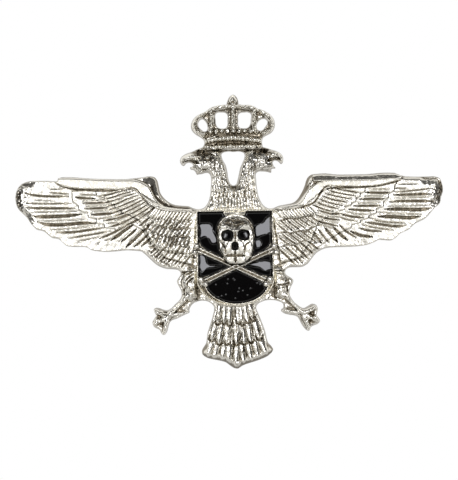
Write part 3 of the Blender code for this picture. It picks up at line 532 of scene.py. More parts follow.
# families of lines: (first, last, count, width, depth)
WING_FANS = [
    ([(-22.4, 4.95), (-20.5, 5.25), (-19, 5.65), (-17, 6.05)],
     [(-19, -0.2), (-16.5, 0.8), (-14.5, 1.9), (-13, 3.1)], 19, 0.24, 0.5),
    ([(-16.4, 0.9), (-15.4, 1.5), (-14.4, 2.2)], [(-14.8, -0.9), (-14.0, 0.0), (-13.2, 0.9)],
     5, 0.24, 0.45),
    ([(15.8, 5.95), (17.6, 5.45), (20.6, 4.9)], [(12.8, 3.1), (14.4, 2.4), (16.2, 1.9)],
     13, 0.24, 0.5),
    ([(13.4, 2.2), (15.6, 1.6), (17.6, 1.5)], [(12.6, 0.4), (14.6, -0.3), (16.6, -0.9)],
     6, 0.24, 0.45),
    # the long feathers on the left wing's lobe
    ([(-12.8, -3.4), (-13.4, -4.1), (-14.2, -4.8)], [(-7.0, -4.6), (-8.0, -5.8), (-9.0, -7.0)],
     11, 0.2, 0.36),
    # the long feathers on the right wing's shoulder, in three bands
    ([(6.4, 0.6), (7.3, -0.3), (8.5, -1.3)], [(12.2, 1.4), (13.3, 0.6), (14.6, -0.1)],
     13, 0.19, 0.36),
    ([(6.5, -1.6), (7.7, -2.6), (9.2, -3.6)], [(12.0, -0.7), (13.3, -1.7), (14.8, -2.8)],
     12, 0.2, 0.36),
    ([(6.9, -3.9), (8.4, -5.3), (9.9, -6.8)], [(11.6, -2.5), (12.9, -3.6), (14.2, -4.7)],
     9, 0.25, 0.45),
]
# rounded forms: (outline, rise, distance from the edge at which the top is reached)
ROUNDED = [
    ([(-5.6, 1.6), (-4.6, 4.6), (-4.2, 8.2), (-6.6, 8.2), (-7.6, 9.0), (-9.2, 9.4), (-9.2, 11.7),
      (-6.2, 13.0), (-2.6, 12.4), (-1.6, 12.0), (-0.8, 8.0), (0.0, 6.2), (0.7, 8.0),
      (1.4, 12.0), (2.6, 12.5), (5.6, 13.0), (8.4, 12.2), (8.6, 9.4), (7.2, 9.0), (6.4, 8.3),
      (4.0, 8.2), (4.4, 4.6), (5.4, 1.6)], 1.1, 1.5),
    ([(-6.2, -7.4), (-9.8, -7.5), (-9.8, -11.5), (-14.2, -13.2), (-14.2, -18.2), (-11, -18.2),
      (-7.4, -14.8), (-6.3, -12.6)], 0.5, 0.45),
    ([(6.2, -7.4), (9.8, -7.5), (9.8, -11.5), (14.2, -13.0), (14.2, -18.0), (11, -18.0),
      (7.4, -14.8), (6.3, -12.6)], 0.5, 0.45),
]
# edges that fall away gently: (low x, high x, low z, high z, width, drop)
CHAMFERS = [
    (-37.0, -32.4, 0.6, 8.2, 1.05, 0.62), (-34.0, -28.0, -3.0, 2.0, 0.35, 0.15),
    (30.4, 36.2, 2.4, 9.0, 1.35, 0.8), (26.5, 34.0, -1.5, 3.6, 0.35, 0.15),
    (-27.5, -15.0, 7.4, 8.6, 0.3, 0.2), (26.0, 33.5, 6.6, 8.4, 0.5, 0.3),
    (-15.0, -10.8, 2.6, 9.4, 1.3, 0.85), (-12.5, -5.8, 1.8, 5.2, 0.7, 0.4),
    (26.0, 35.0, 6.0, 9.0, 0.7, 0.4),
]
# ways of laying feathers: (scatter, squareness across, fall to one side, depth of their outline)
CRISP = (0.03, 5.0, 0.1, 0.0)
SOFT = (0.09, 2.6, 0.35, 0.0)
NECK = (0.05, 2.6, 0.35, 0.0)
TAIL = (0.17, 5.0, 0.95, 0.0)
TAIL_OUTLINED = (0.17, 5.0, 0.95, 0.45)
# rows of feathers in the order they are laid, each over the one before:
# (line of roots, line of tips, count, half width, rise, hollow)
FEATHERS = [
    # the right wing's first row
    (CRISP, [
        ([(6.6, 2.2), (9.4, 2.45), (12.2, 2.9)], [(7.8, 0.9), (10.6, 1.1), (13.5, 1.5)],
         12, 0.18, 0.55, 0.05),
    ]),
    # the left wing, from below
    (SOFT, [
        ([(-13.2, -2.2), (-10.6, -3.0), (-7.2, -3.3)], [(-14.0, -3.2), (-11.4, -4.2), (-8.0, -4.7)],
         9, 0.32, 0.5, 0.15),
        ([(-13.5, -1.3), (-10.4, -1.8), (-7.2, -2.0)], [(-14.1, -2.6), (-11, -3.1), (-7.8, -3.3)],
         10, 0.3, 0.5, 0.1),
        ([(-13.7, 0.0), (-10.4, -0.5), (-7.0, -0.7)], [(-14.7, -1.2), (-11.4, -1.7), (-7.9, -1.9)],
         10, 0.3, 0.45, 0.15),
        ([(-13.9, 1.3), (-10.6, 0.9), (-6.6, 0.7)], [(-14.9, 0.1), (-11.5, -0.3), (-7.8, -0.5)],
         11, 0.27, 0.5, 0.1),
    ]),
    # the left wing's first row
    (CRISP, [
        ([(-13.1, 2.9), (-10.2, 2.45), (-6.5, 2.2)], [(-14.4, 1.3), (-11.4, 0.8), (-7.8, 0.6)],
         13, 0.19, 0.6, 0.05),
    ]),
    # the collar, the necks and the heads
    (NECK, [
        ([(-4.5, 4.2), (0.0, 4.5), (4.3, 4.2)], [(-4.8, 2.2), (0.0, 2.2), (4.6, 2.2)],
         18, 0.23, 0.35, 0.05),
        ([(-4.0, 5.4), (0.0, 5.7), (3.8, 5.4)], [(-4.4, 4.0), (0.0, 4.3), (4.2, 4.0)],
         14, 0.25, 0.5, 0.1),
        ([(-3.9, 6.6), (-2.4, 6.9), (-0.6, 6.6)], [(-4.0, 5.2), (-2.3, 5.4), (-0.3, 5.3)],
         7, 0.25, 0.5, 0.1),
        ([(0.5, 6.6), (2.2, 6.9), (3.7, 6.6)], [(0.2, 5.3), (2.1, 5.4), (3.8, 5.2)],
         7, 0.25, 0.5, 0.1),
        ([(-3.8, 7.8), (-2.4, 8.1), (-1.1, 7.7)], [(-3.9, 6.4), (-2.4, 6.7), (-0.9, 6.4)],
         6, 0.25, 0.5, 0.1),
        ([(0.8, 7.7), (2.1, 8.1), (3.5, 7.8)], [(0.7, 6.4), (2.1, 6.7), (3.6, 6.4)],
         6, 0.25, 0.5, 0.1),
        ([(-3.7, 9.0), (-2.5, 9.2), (-1.2, 8.9)], [(-3.8, 7.6), (-2.5, 7.8), (-1.1, 7.5)],
         5, 0.27, 0.5, 0.15),
        ([(1.0, 8.9), (2.2, 9.2), (3.5, 9.0)], [(0.9, 7.5), (2.1, 7.8), (3.5, 7.6)],
         5, 0.27, 0.5, 0.15),
        ([(-3.6, 10.2), (-2.6, 10.3), (-1.6, 10.0)], [(-3.8, 8.9), (-2.6, 8.9), (-1.3, 8.7)],
         4, 0.3, 0.45, 0.2),
        ([(1.4, 10.0), (2.4, 10.3), (3.4, 10.2)], [(1.1, 8.7), (2.3, 8.9), (3.6, 8.9)],
         4, 0.3, 0.45, 0.2),
        ([(-5.6, 11.7), (-4.4, 11.6), (-2.6, 11.0)], [(-5.2, 10.4), (-4.1, 10.1), (-2.4, 9.8)],
         6, 0.28, 0.14, 0.2),
        ([(2.3, 11.0), (4.2, 11.7), (5.4, 11.9)], [(2.0, 9.8), (3.8, 10.2), (5.0, 10.6)],
         6, 0.28, 0.14, 0.2),
        ([(-5.2, 10.2), (-4.4, 10.0), (-3.7, 9.7)], [(-5.4, 9.2), (-4.5, 9.0), (-3.8, 8.8)],
         4, 0.25, 0.14, 0.2),
        ([(3.6, 9.8), (4.4, 10.1), (5.1, 10.4)], [(3.7, 8.9), (4.5, 9.1), (5.4, 9.3)],
         4, 0.25, 0.14, 0.2),
    ]),
    # the tail's longest feathers
    (TAIL, [
        ([(-3.9, -17.4), (0.0, -18.2), (3.9, -17.2)], [(-5.3, -21.5), (0.0, -22.8), (5.4, -21.4)],
         9, 0.60, 0.46, 0.0),
    ]),
    # the tail's shorter feathers
    (TAIL_OUTLINED, [
        ([(-3.3, -14.9), (0.0, -15.2), (3.2, -14.8)], [(-4.5, -18.9), (0.0, -19.6), (4.4, -18.8)],
         7, 0.62, 0.46, 0.0),
        ([(-2.9, -12.8), (0.0, -12.9), (2.8, -12.8)], [(-3.6, -15.9), (0.0, -16.4), (3.5, -15.7)],
         7, 0.50, 0.42, 0.0),
    ]),
]
# raised bars: (rise, roundness, points with half widths)
BARS = [
    # beaks
    (0.55, 2.0, [(-5.9, 11.3, 0.35), (-7.2, 11.25, 0.5), (-8.2, 10.9, 0.45), (-8.35, 10.2, 0.25)]),
    (0.55, 2.0, [(5.6, 11.7, 0.35), (6.8, 11.6, 0.5), (7.7, 11.2, 0.45), (7.85, 10.4, 0.25)]),
    (0.35, 2.0, [(-5.2, 9.0, 0.3), (-6.2, 9.2, 0.28), (-6.9, 9.35, 0.2)]),
    (0.35, 2.0, [(5.0, 9.2, 0.3), (5.9, 9.3, 0.28), (6.7, 9.4, 0.2)]),
    # crown: arcs, uprights and bands
    (0.75, 2.5, [(-4.9, 14.75, 0.42), (-6.15, 15.6, 0.42), (-6.25, 16.8, 0.42),
                 (-5.2, 17.95, 0.42), (-3.7, 18.85, 0.42), (-1.8, 19.25, 0.4), (0.0, 19.3, 0.4),
                 (1.8, 19.25, 0.4), (3.6, 18.95, 0.42), (5.2, 18.1, 0.42), (6.25, 16.9, 0.42),
                 (6.15, 15.6, 0.42), (4.9, 14.75, 0.42)]),
    (0.75, 2.5, [(-3.7, 15.3, 0.4), (-3.55, 16.8, 0.4), (-3.6, 18.8, 0.35)]),
    (0.75, 2.5, [(3.5, 15.3, 0.4), (3.4, 16.8, 0.4), (3.5, 18.8, 0.35)]),
    (0.8, 2.5, [(0.0, 15.4, 0.42), (0.0, 17.4, 0.36), (0.0, 19.0, 0.36)]),
    (0.75, 2.5, [(-4.6, 13.75, 0.5), (-2.4, 14.1, 0.5), (0.0, 14.2, 0.5), (2.4, 14.05, 0.5),
                 (4.5, 13.7, 0.5)]),
    (0.5, 2.5, [(-4.3, 12.7, 0.4), (-2.2, 12.75, 0.38), (0.0, 12.75, 0.38), (2.2, 12.75, 0.38),
                (4.2, 12.7, 0.4)]),
    (0.7, 2.0, [(0.0, 19.4, 0.3), (0.0, 20.3, 0.62), (0.0, 21.2, 0.2)]),
    # legs: thighs, shanks, toes and spurs
    (0.9, 2.2, [(-6.9, -7.6, 0.9), (-7.7, -9.0, 1.1), (-7.5, -10.4, 1.0), (-7.6, -11.6, 0.8)]),
    (0.85, 2.0, [(-7.9, -11.4, 0.55), (-8.9, -12.6, 0.42), (-10.4, -14.0, 0.42),
                 (-11.4, -14.9, 0.5)]),
    (0.8, 2.0, [(-11.0, -14.8, 0.5), (-12.0, -14.5, 0.4), (-13.1, -13.8, 0.3)]),
    (0.8, 2.0, [(-11.4, -15.0, 0.5), (-12.4, -15.5, 0.42), (-13.4, -16.0, 0.3)]),
    (0.8, 2.0, [(-11.3, -15.2, 0.45), (-11.5, -16.3, 0.38), (-11.8, -17.5, 0.26)]),
    (0.6, 2.0, [(-10.9, -14.6, 0.32), (-9.6, -14.4, 0.32), (-8.0, -14.2, 0.28)]),
    (0.9, 2.2, [(6.8, -7.6, 0.9), (7.6, -8.9, 1.0), (7.5, -10.2, 0.9), (7.7, -11.5, 0.75)]),
    (0.85, 2.0, [(7.9, -11.3, 0.55), (8.9, -12.4, 0.42), (10.2, -13.8, 0.42),
                 (11.2, -14.7, 0.5)]),
    (0.8, 2.0, [(11.0, -14.5, 0.5), (12.0, -14.1, 0.4), (12.9, -13.6, 0.3)]),
    (0.8, 2.0, [(11.2, -14.8, 0.5), (12.3, -15.4, 0.42), (13.4, -15.8, 0.3)]),
    (0.8, 2.0, [(11.1, -15.0, 0.45), (11.6, -16.2, 0.38), (11.9, -17.2, 0.26)]),
    (0.6, 2.0, [(10.7, -14.4, 0.32), (9.4, -14.3, 0.32), (7.9, -14.0, 0.28)]),
]
# lumps: (x, z, radius across, radius up, rise, turn)
LUMPS = [
    (-8.3, 10.75, 0.35, 0.4, 0.75, 0), (7.45, 11.3, 0.5, 0.35, 0.75, -30),
    (-6.8, -9.3, 0.75, 1.3, 0.9, 0), (6.8, -9.2, 0.75, 1.3, 0.9, 0),
    (-6.7, -10.9, 0.42, 1.0, 1.25, 8), (-7.6, -10.5, 0.35, 0.65, 1.2, 8),
    (6.85, -10.9, 0.42, 0.95, 1.25, -8), (7.8, -10.5, 0.4, 0.6, 1.2, -8),
    (-12.3, -14.2, 0.4, 0.35, 1.0, 0), (-12.9, -15.4, 0.4, 0.35, 1.0, 0),
    (-11.5, -15.9, 0.35, 0.4, 1.0, 0), (12.2, -14.0, 0.4, 0.35, 1.0, 0),
    (12.9, -15.3, 0.4, 0.35, 1.0, 0), (11.5, -15.8, 0.35, 0.4, 1.0, 0),
    (0.1, -22.6, 0.55, 0.6, 0.6, 0), (-14.0, -4.35, 0.36, 0.3, 0.4, -40),
    (-13.3, -5.0, 0.38, 0.32, 0.4, -40), (-12.6, -5.65, 0.38, 0.32, 0.4, -40),
    (-11.8, -6.2, 0.4, 0.32, 0.4, -30), (-11.0, -6.6, 0.36, 0.3, 0.4, -20),
    (-4.3, 11.0, 0.35, 0.3, 0.75, 20), (4.1, 11.0, 0.35, 0.3, 0.75, -20),
]
DETAIL_LINES = [
    # mouths, eyes and the dark arcs of the crown
    (0.4, 0.8, [(-8.0, 10.5), (-7.0, 10.55), (-5.7, 10.1)]),
    (0.4, 0.8, [(7.6, 10.7), (6.6, 10.75), (5.4, 10.3)]),
    (0.25, 0.5, [(-6.3, 12.2), (-5.0, 12.0), (-3.0, 11.3)]),
    (0.25, 0.5, [(3.0, 11.5), (5.0, 12.2), (6.2, 12.2)]),
    (0.3, 0.55, [(-6.9, 9.0), (-5.8, 8.85), (-4.4, 9.15)]),
    (0.3, 0.55, [(4.2, 9.1), (5.4, 9.0), (6.4, 9.1)]),
    (0.22, 0.4, [(-4.5, 13.95), (-2.2, 14.5), (0.0, 14.65), (2.2, 14.5), (4.4, 14.1)]),
    (0.30, 0.45, [(-3.4, 13.05), (-1.8, 13.4), (0.0, 13.5), (1.8, 13.35), (3.2, 13.05)]),
    (0.28, 0.4, [(-0.35, 20.0), (0.35, 20.05)]),
    (0.28, 0.4, [(-0.2, 21.0), (0.2, 21.05)]),
    # thighs, shanks and feet
    (0.20, 0.45, [(-6.5, -7.2), (-7.3, -7.6), (-8.3, -8.2), (-8.7, -8.9)]),
    (0.20, 0.45, [(-6.5, -7.7), (-7.45, -8.3), (-8.25, -9.1)]),
    (0.20, 0.45, [(-6.5, -8.35), (-7.2, -8.75), (-7.85, -9.4), (-8.0, -10.2)]),
    (0.2, 0.35, [(-8.1, -9.8), (-8.4, -10.8), (-8.2, -11.4)]),
    (0.16, 0.35, [(-8.5, -12.0), (-9.6, -13.1), (-10.6, -14.0)]),
    (0.40, 0.26, [(-12.3, -14.9), (-12.9, -14.7)]),
    (0.40, 0.26, [(-11.9, -16.0), (-12.4, -15.9)]),
    (0.20, 0.45, [(6.5, -8.1), (7.6, -8.0), (8.9, -8.7)]),
    (0.20, 0.45, [(6.4, -9.75), (7.6, -9.85), (8.9, -9.5)]),
    (0.2, 0.35, [(8.1, -9.6), (8.4, -10.6), (8.2, -11.2)]),
    (0.16, 0.35, [(8.5, -11.9), (9.5, -12.9), (10.4, -13.7)]),
    (0.40, 0.26, [(12.2, -14.7), (12.8, -14.5)]),
    (0.40, 0.26, [(11.9, -15.8), (12.4, -15.7)]),
]
# painted shade: dark patches that stand in for dark reflections: (x, z, half width, half height,
# amount, turn)
PAINTED_SHADES = [
    (-0.1, -15.2, 0.6, 1.8, 0.5, 0), (-3.0, -15.4, 0.5, 1.3, 0.4, -10),
    (2.9, -15.3, 0.6, 1.5, 0.5, 8), (-3.8, -17.6, 0.5, 1.3, 0.4, -12),
    (1.2, -17.3, 0.5, 1.6, 0.45, 3), (3.6, -17.4, 0.7, 1.5, 0.45, 10),
    (-1.0, -20.3, 0.5, 1.9, 0.5, -2), (1.0, -20.6, 0.55, 1.7, 0.5, 3),
    (2.3, -20.0, 0.4, 1.4, 0.4, 5), (0.15, -18.7, 0.5, 0.7, 0.55, 0),
    (-3.6, -20.4, 0.35, 1.2, 0.4, -8), (-4.6, -20.3, 0.3, 1.1, 0.4, -12),
    (0.1, -22.8, 0.5, 0.5, 0.6, 0), (-2.3, -18.2, 0.35, 0.9, 0.4, -5),
    (-4.8, 11.9, 2.6, 1.0, 0.65, 12), (5.0, 12.0, 2.4, 0.9, 0.5, -12),
    (-4.4, 10.6, 1.6, 0.8, 0.4, 10),
    (-3.2, 10.4, 1.0, 1.4, 0.3, 20), (3.2, 9.6, 0.9, 1.4, 0.25, -20),
    (-13.6, 6.2, 0.6, 1.8, 0.35, -8), (-35.2, 4.6, 0.9, 3.6, 0.3, 0), (33.6, 5.4, 1.1, 3.0, 0.4, 0),
    (-10.0, -1.5, 3.6, 2.6, 0.3, -15), (9.6, -1.5, 3.0, 2.2, 0.15, 15),
    (0.0, 14.9, 5.2, 0.5, 0.12, 0), (-7.05, -9.25, 0.8, 0.65, 0.55, 0),
    (7.7, -8.95, 1.4, 0.75, 0.55, -15), (8.0, -11.7, 0.6, 0.3, 0.5, 0),
]
# how wide the sloping wall is: (low x, high x, low z, high z, width)
WALLS = [
    (-36.4, -20.0, -4.6, 8.3, 0.16), (20.0, 34.8, -4.6, 8.3, 0.16),
    (-13.4, -6.0, 2.6, 8.3, 0.3), (9.5, 12.8, 3.0, 7.8, 0.8), (6.0, 9.5, 2.4, 4.0, 0.4),
    (12.8, 27.4, 7.0, 8.4, 0.38),
    (-6.4, 6.4, -24.0, -19.6, 0.8), (-7.2, 7.2, 12.4, 21.6, 0.17), (-9.0, 9.0, 8.2, 9.6, 0.35),
    (-16.0, -8.0, -7.4, -4.0, 0.4), (8.0, 15.0, -7.4, -4.0, 0.4),
]
# grainy areas: (low x, high x, low z, high z, coarse, fine)
GRAINY = [
    (-14.5, -6.0, -7.2, 1.2, 0.045, 0.02), (6.0, 13.5, -7.2, 1.2, 0.045, 0.018),
    (-9.2, 9.2, 8.4, 21.8, 0.05, 0.03), (-5.0, 5.0, 2.6, 8.4, 0.04, 0.022),
    (-14.2, 14.2, -18.2, -7.4, 0.05, 0.025), (-6.2, 6.2, -23.8, -13.2, 0.02, 0.01),
    (-29.0, -12.0, 6.2, 8.3, 0.005, 0.004), (12.0, 27.0, 7.3, 8.3, 0.03, 0.025),
    (-36.2, -33.6, 1.0, 8.0, 0.03, 0.04), (31.5, 34.5, 2.5, 8.0, 0.03, 0.04),
    (-25.0, -15.0, -4.2, -2.0, 0.01, 0.005),
]
POSTS = [(-17.5, 2.0), (17.5, 2.0)]
RIVETS = [(0.0, -2.6), (0.0, -10.3)]
GROUND = 1.9                # height of the eagle's plain surface
LOWEST = 1.0                # no engraving goes below this height
# the wings lie outside this x and between these two z
WING_ROOT, WING_LOW, WING_TOP = 6.2, -7.45, 8.4
HEAD_REACH, HEAD_FALL, HEAD_TOP = 9.2, 10.4, 12.35
LINES_ON_TAIL = 24


def eagle_outlines():
    """The smooth outlines of the eagle's back, without its round holes for posts and rivets."""
    kept = []
    for loop in flat_loops("eagle_casting", 1, 4)[0]:
        middle, span = np.mean(loop, 0), np.ptp(loop, 0).max()
        if not any(math.hypot(*(middle - spot)) < 0.3 and span < 6 for spot in POSTS + RIVETS):
            kept.append(smooth_loop(loop, 3))
    return kept


def eagle_relief():
    """The whole front of the eagle as one height field."""
    field = Relief((-36.4, -24.1), (34.8, 21.9), CASTING_STEP)
    field.inside = field.signed(eagle_outlines(), REACH)
    x, z = field.x, field.z
    field.h += GROUND
    wings = (np.abs(x) > WING_ROOT) & (z > WING_LOW) & (z < WING_TOP)
    field.h[wings] = GROUND + 0.2
    field.h += np.where(wings, 0.075 * (2.0 - np.maximum(z, -4.6)), 0)
    for outline, rise in ((LEFT_MIDDLE, 0.25), (LEFT_INNER, 0.3), (RIGHT_MIDDLE, 0.25),
                          (RIGHT_INNER, 0.3)):
        field.terrace(outline, rise)
    for outline, rise, reach in ROUNDED:
        area = ramp(field.signed([outline], 0.6), 0.5)
        share = ramp(field.inside, reach)
        field.h += area * rise * np.sqrt(1 - (1 - share) ** 2)
    # the heads fall away towards their tops
    heads = (np.abs(x) < HEAD_REACH) & (z < HEAD_TOP)
    field.h -= np.where(heads, 0.5 * np.maximum(z - HEAD_FALL, 0), 0)
    for low_x, high_x, low_z, high_z, wide, drop in CHAMFERS:
        soft = ramp(np.minimum(np.minimum(x - low_x, high_x - x),
                               np.minimum(z - low_z, high_z - z)))
        field.h -= soft * drop * ramp(1 - field.inside / wide)
    field.ground = field.h.copy()
    for way, rows in FEATHERS:
        for row in rows:
            field.leaves(*row, *way)
    for width, depth, points in WING_LINES + DETAIL_LINES:
        field.groove(points, width, depth)
    for fan in WING_FANS:
        field.grooves(*fan)
    tail_lines(field)
    for points, lean in ((LEFT_BAR, -0.08), (RIGHT_BAR, 0.08)):
        field.ridge(points, 0.72, 10.0, lean)
    for rise, roundness, points in BARS:
        field.ridge(points, rise, roundness)
    for lump in LUMPS:
        field.dome(*lump, power=3.5)
    crown_beads(field)
    slope_of_right_wing(field)
    coarse, fine = np.full_like(x, 0.007), np.full_like(x, 0.005)
    for *sides, big, small in GRAINY:
        area = field.between(*sides)
        coarse[area], fine[area] = big, small
    coarse, fine = field.spread(coarse, 0.35), field.spread(fine, 0.35)
    field.grain = coarse + fine
    field.h += field.noise(0.26, 3) * coarse + field.noise(0.11, 4) * fine
    field.h = np.maximum(field.h - field.cut, LOWEST)
    walls(field)
    return field


def tail_lines(field):
    """Fine lines down the tail feathers."""
    for _ in range(LINES_ON_TAIL):
        share = RANDOM.uniform(-1, 1)
        low = RANDOM.uniform(-20.5, -14.5)
        wide = 2.6 + (-13.0 - low) * 0.3
        field.groove([(wide * share, low + 0.8), (wide * share * 1.08, low - 0.6)], 0.16, 0.25)


# beads along the crown's arcs and uprights: (line, count, radius)
CROWN_BEADS = [
    ([(-5.0, 14.8), (-6.2, 15.6), (-6.3, 16.8), (-5.2, 18.0), (-3.7, 18.9), (-1.8, 19.3),
      (0.0, 19.4), (1.8, 19.3), (3.6, 19.0), (5.2, 18.15), (6.3, 16.9), (6.2, 15.6), (5.0, 14.8)],
     42, 0.24),
    ([(-3.7, 15.6), (-3.55, 17.0), (-3.6, 18.6)], 7, 0.24),
    ([(3.5, 15.6), (3.4, 17.0), (3.5, 18.6)], 7, 0.24),
    ([(0.0, 16.0), (0.0, 18.8)], 7, 0.26),
]
# rows of lumps across the crown: (count, half width of the row, its height, how much it arches,
# scatter, radius across, radius up, least rise, largest rise)
CROWN_LUMPS = [
    (11, 4.7, 15.35, 0.01, 0.05, 0.42, 0.5, 0.45, 0.8),
    (15, 4.4, 14.1, 0.02, 0.0, 0.22, 0.26, 0.4, 0.6),
    (9, 3.8, 12.75, 0.0, 0.0, 0.36, 0.26, 0.2, 0.4),
]


def crown_beads(field):
    """Beads on the crown's arcs and uprights and rows of lumps over its bands."""
    ground = field.ground
    field.ground = np.maximum(ground, np.minimum(field.h, 2.5))
    for line, count, radius in CROWN_BEADS:
        path = smooth_path(line, 12)
        for index in range(count):
            spot = path[int((index + 0.5) / count * (len(path) - 1))]
            across = 0.16 if index % 2 else -0.16
            field.dome(spot[0] + across * RANDOM.uniform(0.2, 1.2),
                       spot[1] + RANDOM.normal(0, 0.05), radius, radius,
                       RANDOM.uniform(0.35, 0.6))
    for count, half, level, arch, scatter, rx, rz, least, largest in CROWN_LUMPS:
        for index in range(count):
            x = -half + 2 * half * index / (count - 1)
            z = level - arch * x * x + (RANDOM.normal(0, scatter) if scatter else 0)
            field.dome(x, z, rx, rz, RANDOM.uniform(least, largest))
    field.ground = ground


def slope_of_right_wing(field):
    """The right wing's bar falls away to its top edge."""
    x, z = field.x, field.z
    crest = 6.95 + 0.25 * ramp(x - 22, 5)
    area = (x > 12.9) & (x < 27.4) & (z > crest)
    field.h = np.where(area, 2.78 - 0.68 * ramp(z - crest, 1.1), field.h)


def walls(field):
    """Bring the surface down to the back with a sloping wall all round."""
    width = np.full_like(field.x, 0.2)
    for *sides, wide in WALLS:
        width[field.between(*sides)] = wide
    share = ramp(field.inside, field.spread(width, 0.4))
    field.h = EDGE + (field.h - EDGE) * (share * (1.3 - 0.3 * share))


# ---------------------------------------------------------------- materials
def new_material(name):
    made = bpy.data.materials.new(name)
    made.use_nodes = True
    nodes, links = made.node_tree.nodes, made.node_tree.links
    return made, nodes, links, nodes["Principled BSDF"]


def preset(node, **values):
    """Set a node's inputs by name; an underscore stands for a space."""
    for label, value in values.items():
        node.inputs[label.replace("_", " ")].default_value = value
    return node


def fine_noise(nodes, links, scale, detail):
    """The strength of a fine noise over the object."""
    noise = preset(nodes.new("ShaderNodeTexNoise"), Scale=scale, Detail=detail)
    spot = nodes.new("ShaderNodeTexCoord")
    links.new(spot.outputs["Object"], noise.inputs["Vector"])
    return noise.outputs["Fac"]


def add_bump(nodes, links, shader, height, strength, distance):
    bump = preset(nodes.new("ShaderNodeBump"), Strength=strength, Distance=distance)
    links.new(height, bump.inputs["Height"])
    links.new(bump.outputs["Normal"], shader.inputs["Normal"])


def nickel(name, tint=(0.95, 0.925, 0.85), dark=(0.25, 0.22, 0.17), grain=0.06, oxide_and_painted_shade=True,
           polish=(0.16, 0.30), scale=900.0):
    """Plated metal, darkened by its layer of dark oxide and painted shade, or where its fine noise
    is low.
    """
    made, nodes, links, shader = new_material(name)
    shader.inputs["Metallic"].default_value = 1.0
    noise = fine_noise(nodes, links, scale, 3.0)
    rough = preset(nodes.new("ShaderNodeMapRange"), From_Min=0.3, From_Max=0.7,
                   To_Min=polish[0], To_Max=polish[1])
    links.new(noise, rough.inputs["Value"])
    colour = nodes.new("ShaderNodeMix")
    colour.data_type = 'RGBA'
    preset(colour, A=(*dark, 1.0), B=(*tint, 1.0))
    # the colour darkens where the layer of dark oxide and painted shade is low
    if oxide_and_painted_shade:
        layer = nodes.new("ShaderNodeAttribute")
        layer.attribute_name = "oxide_and_painted_shade"
        level = preset(nodes.new("ShaderNodeMapRange"), From_Min=0.05, From_Max=0.62)
        level.interpolation_type = 'SMOOTHSTEP'
        links.new(layer.outputs["Fac"], level.inputs["Value"])
        links.new(level.outputs["Result"], colour.inputs["Factor"])
    else:
        links.new(noise, colour.inputs["Factor"])
    links.new(colour.outputs["Result"], shader.inputs["Base Color"])
    links.new(rough.outputs["Result"], shader.inputs["Roughness"])
    add_bump(nodes, links, shader, noise, grain, 0.0002)
    return made


def enamel_look():
    """Deep black glass."""
    made, nodes, links, shader = new_material("black_enamel")
    preset(shader, Base_Color=(0.002, 0.0018, 0.002, 1.0), Roughness=0.05, IOR=1.5)
    add_bump(nodes, links, shader, fine_noise(nodes, links, 420.0, 1.0), 0.05, 0.0004)
    return made


LOOK_CASTING = nickel("nickel_casting")
LOOK_SHIELD = nickel("nickel_shield", tint=(0.93, 0.89, 0.78))
LOOK_SKULL = nickel("nickel_skull")
LOOK_BACK = nickel("cast_back", (0.88, 0.86, 0.80), (0.50, 0.48, 0.42), 0.9, False,
                   (0.32, 0.5), 700.0)
LOOK_STEEL = nickel("washer_steel", (0.80, 0.79, 0.77), (0.50, 0.49, 0.47), 0.12, False,
                    (0.2, 0.4))
LOOK_POST = nickel("post_brass", (0.80, 0.66, 0.38), (0.52, 0.41, 0.22), 0.10, False,
                   (0.25, 0.4))
LOOK_NUT = nickel("nut_brass", (0.90, 0.72, 0.38), (0.66, 0.50, 0.24), 0.08, False,
                  (0.18, 0.32))
LOOK_SOLDER = nickel("solder", (0.78, 0.78, 0.76), (0.50, 0.50, 0.50), 0.5, False,
                     (0.25, 0.45), 500.0)
LOOK_ENAMEL = enamel_look()


# ---------------------------------------------------------------- pieces of relief
def recess_oxide_and_painted_shade_of(field):
    """0 in recesses and 1 on flat or raised places; the darker recesses stand partly for dark
    oxide, partly for painted shade.
    """
    fine = (field.h - field.blur(field.h, 0.28)) / 0.16
    wide = (field.h - field.blur(field.h, 0.9)) / 0.55
    return ramp(0.70 + 0.5 * fine + 0.35 * wide)


def read_values(items, label, width=1, kind=np.float32):
    """One property of many mesh items as an array."""
    values = np.empty(len(items) * width, kind)
    items.foreach_get(label, values)
    return values.reshape(-1, width) if width > 1 else values


def add_bake_layer(obj):
    """A plain front and back projection, side by side."""
    mesh = obj.data
    layer = mesh.uv_layers.new(name="OFBake")
    verts = read_values(mesh.vertices, "co", 3)
    index = read_values(mesh.loops, "vertex_index", kind=np.int32)
    normals = read_values(mesh.polygons, "normal", 3)
    totals = read_values(mesh.polygons, "loop_total", kind=np.int32)
    back = np.repeat(normals[:, 1] > 0.5, totals)
    low, high = verts.min(0), verts.max(0)
    span = max(high[0] - low[0], 2 * (high[2] - low[2]), 1e-6)
    u = (verts[index, 0] - low[0]) / span * 0.96 + 0.02
    v = (verts[index, 2] - low[2]) / span * 0.96 + np.where(back, 0.51, 0.01)
    layer.data.foreach_set("uv", np.stack([u, v], 1).astype(np.float32).ravel())
    mesh.uv_layers.active = layer


def finish_relief(obj, look, back_look=None):
    """Give a relief piece its materials, its layer for baking and its place in the badge."""
    obj.data.materials.append(look)
    obj.data.materials.append(back_look or look)
    add_bake_layer(obj)
    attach(obj, "badge")
    return obj


def painted_shade_of(field):
    """Mottled painted shade: dark patches that stand in for dark reflections on the metal."""
    shade = np.zeros_like(field.x)
    for x, z, rx, rz, amount, turn in PAINTED_SHADES:
        u, v = turned_oval(field.x - x, field.z - z, rx, rz, turn)
        shade = np.maximum(shade, amount * ramp(1.6 * (1 - np.hypot(u, v))))
    mottle = 1 + 0.45 * field.noise(0.12, 51) + 0.25 * field.noise(0.3, 52)
    return shade * np.clip(mottle, 0.1, 2.0)


# round recesses in the back: (radius, depth)
POST_RECESS = (2.55, 0.62)
RIVET_RECESS = (1.36, 0.4)
# the wings' own pieces are cut off at this x and at these two z
WING_CUT, WING_CUT_LOW, WING_CUT_TOP = 6.0, -7.4, 8.35


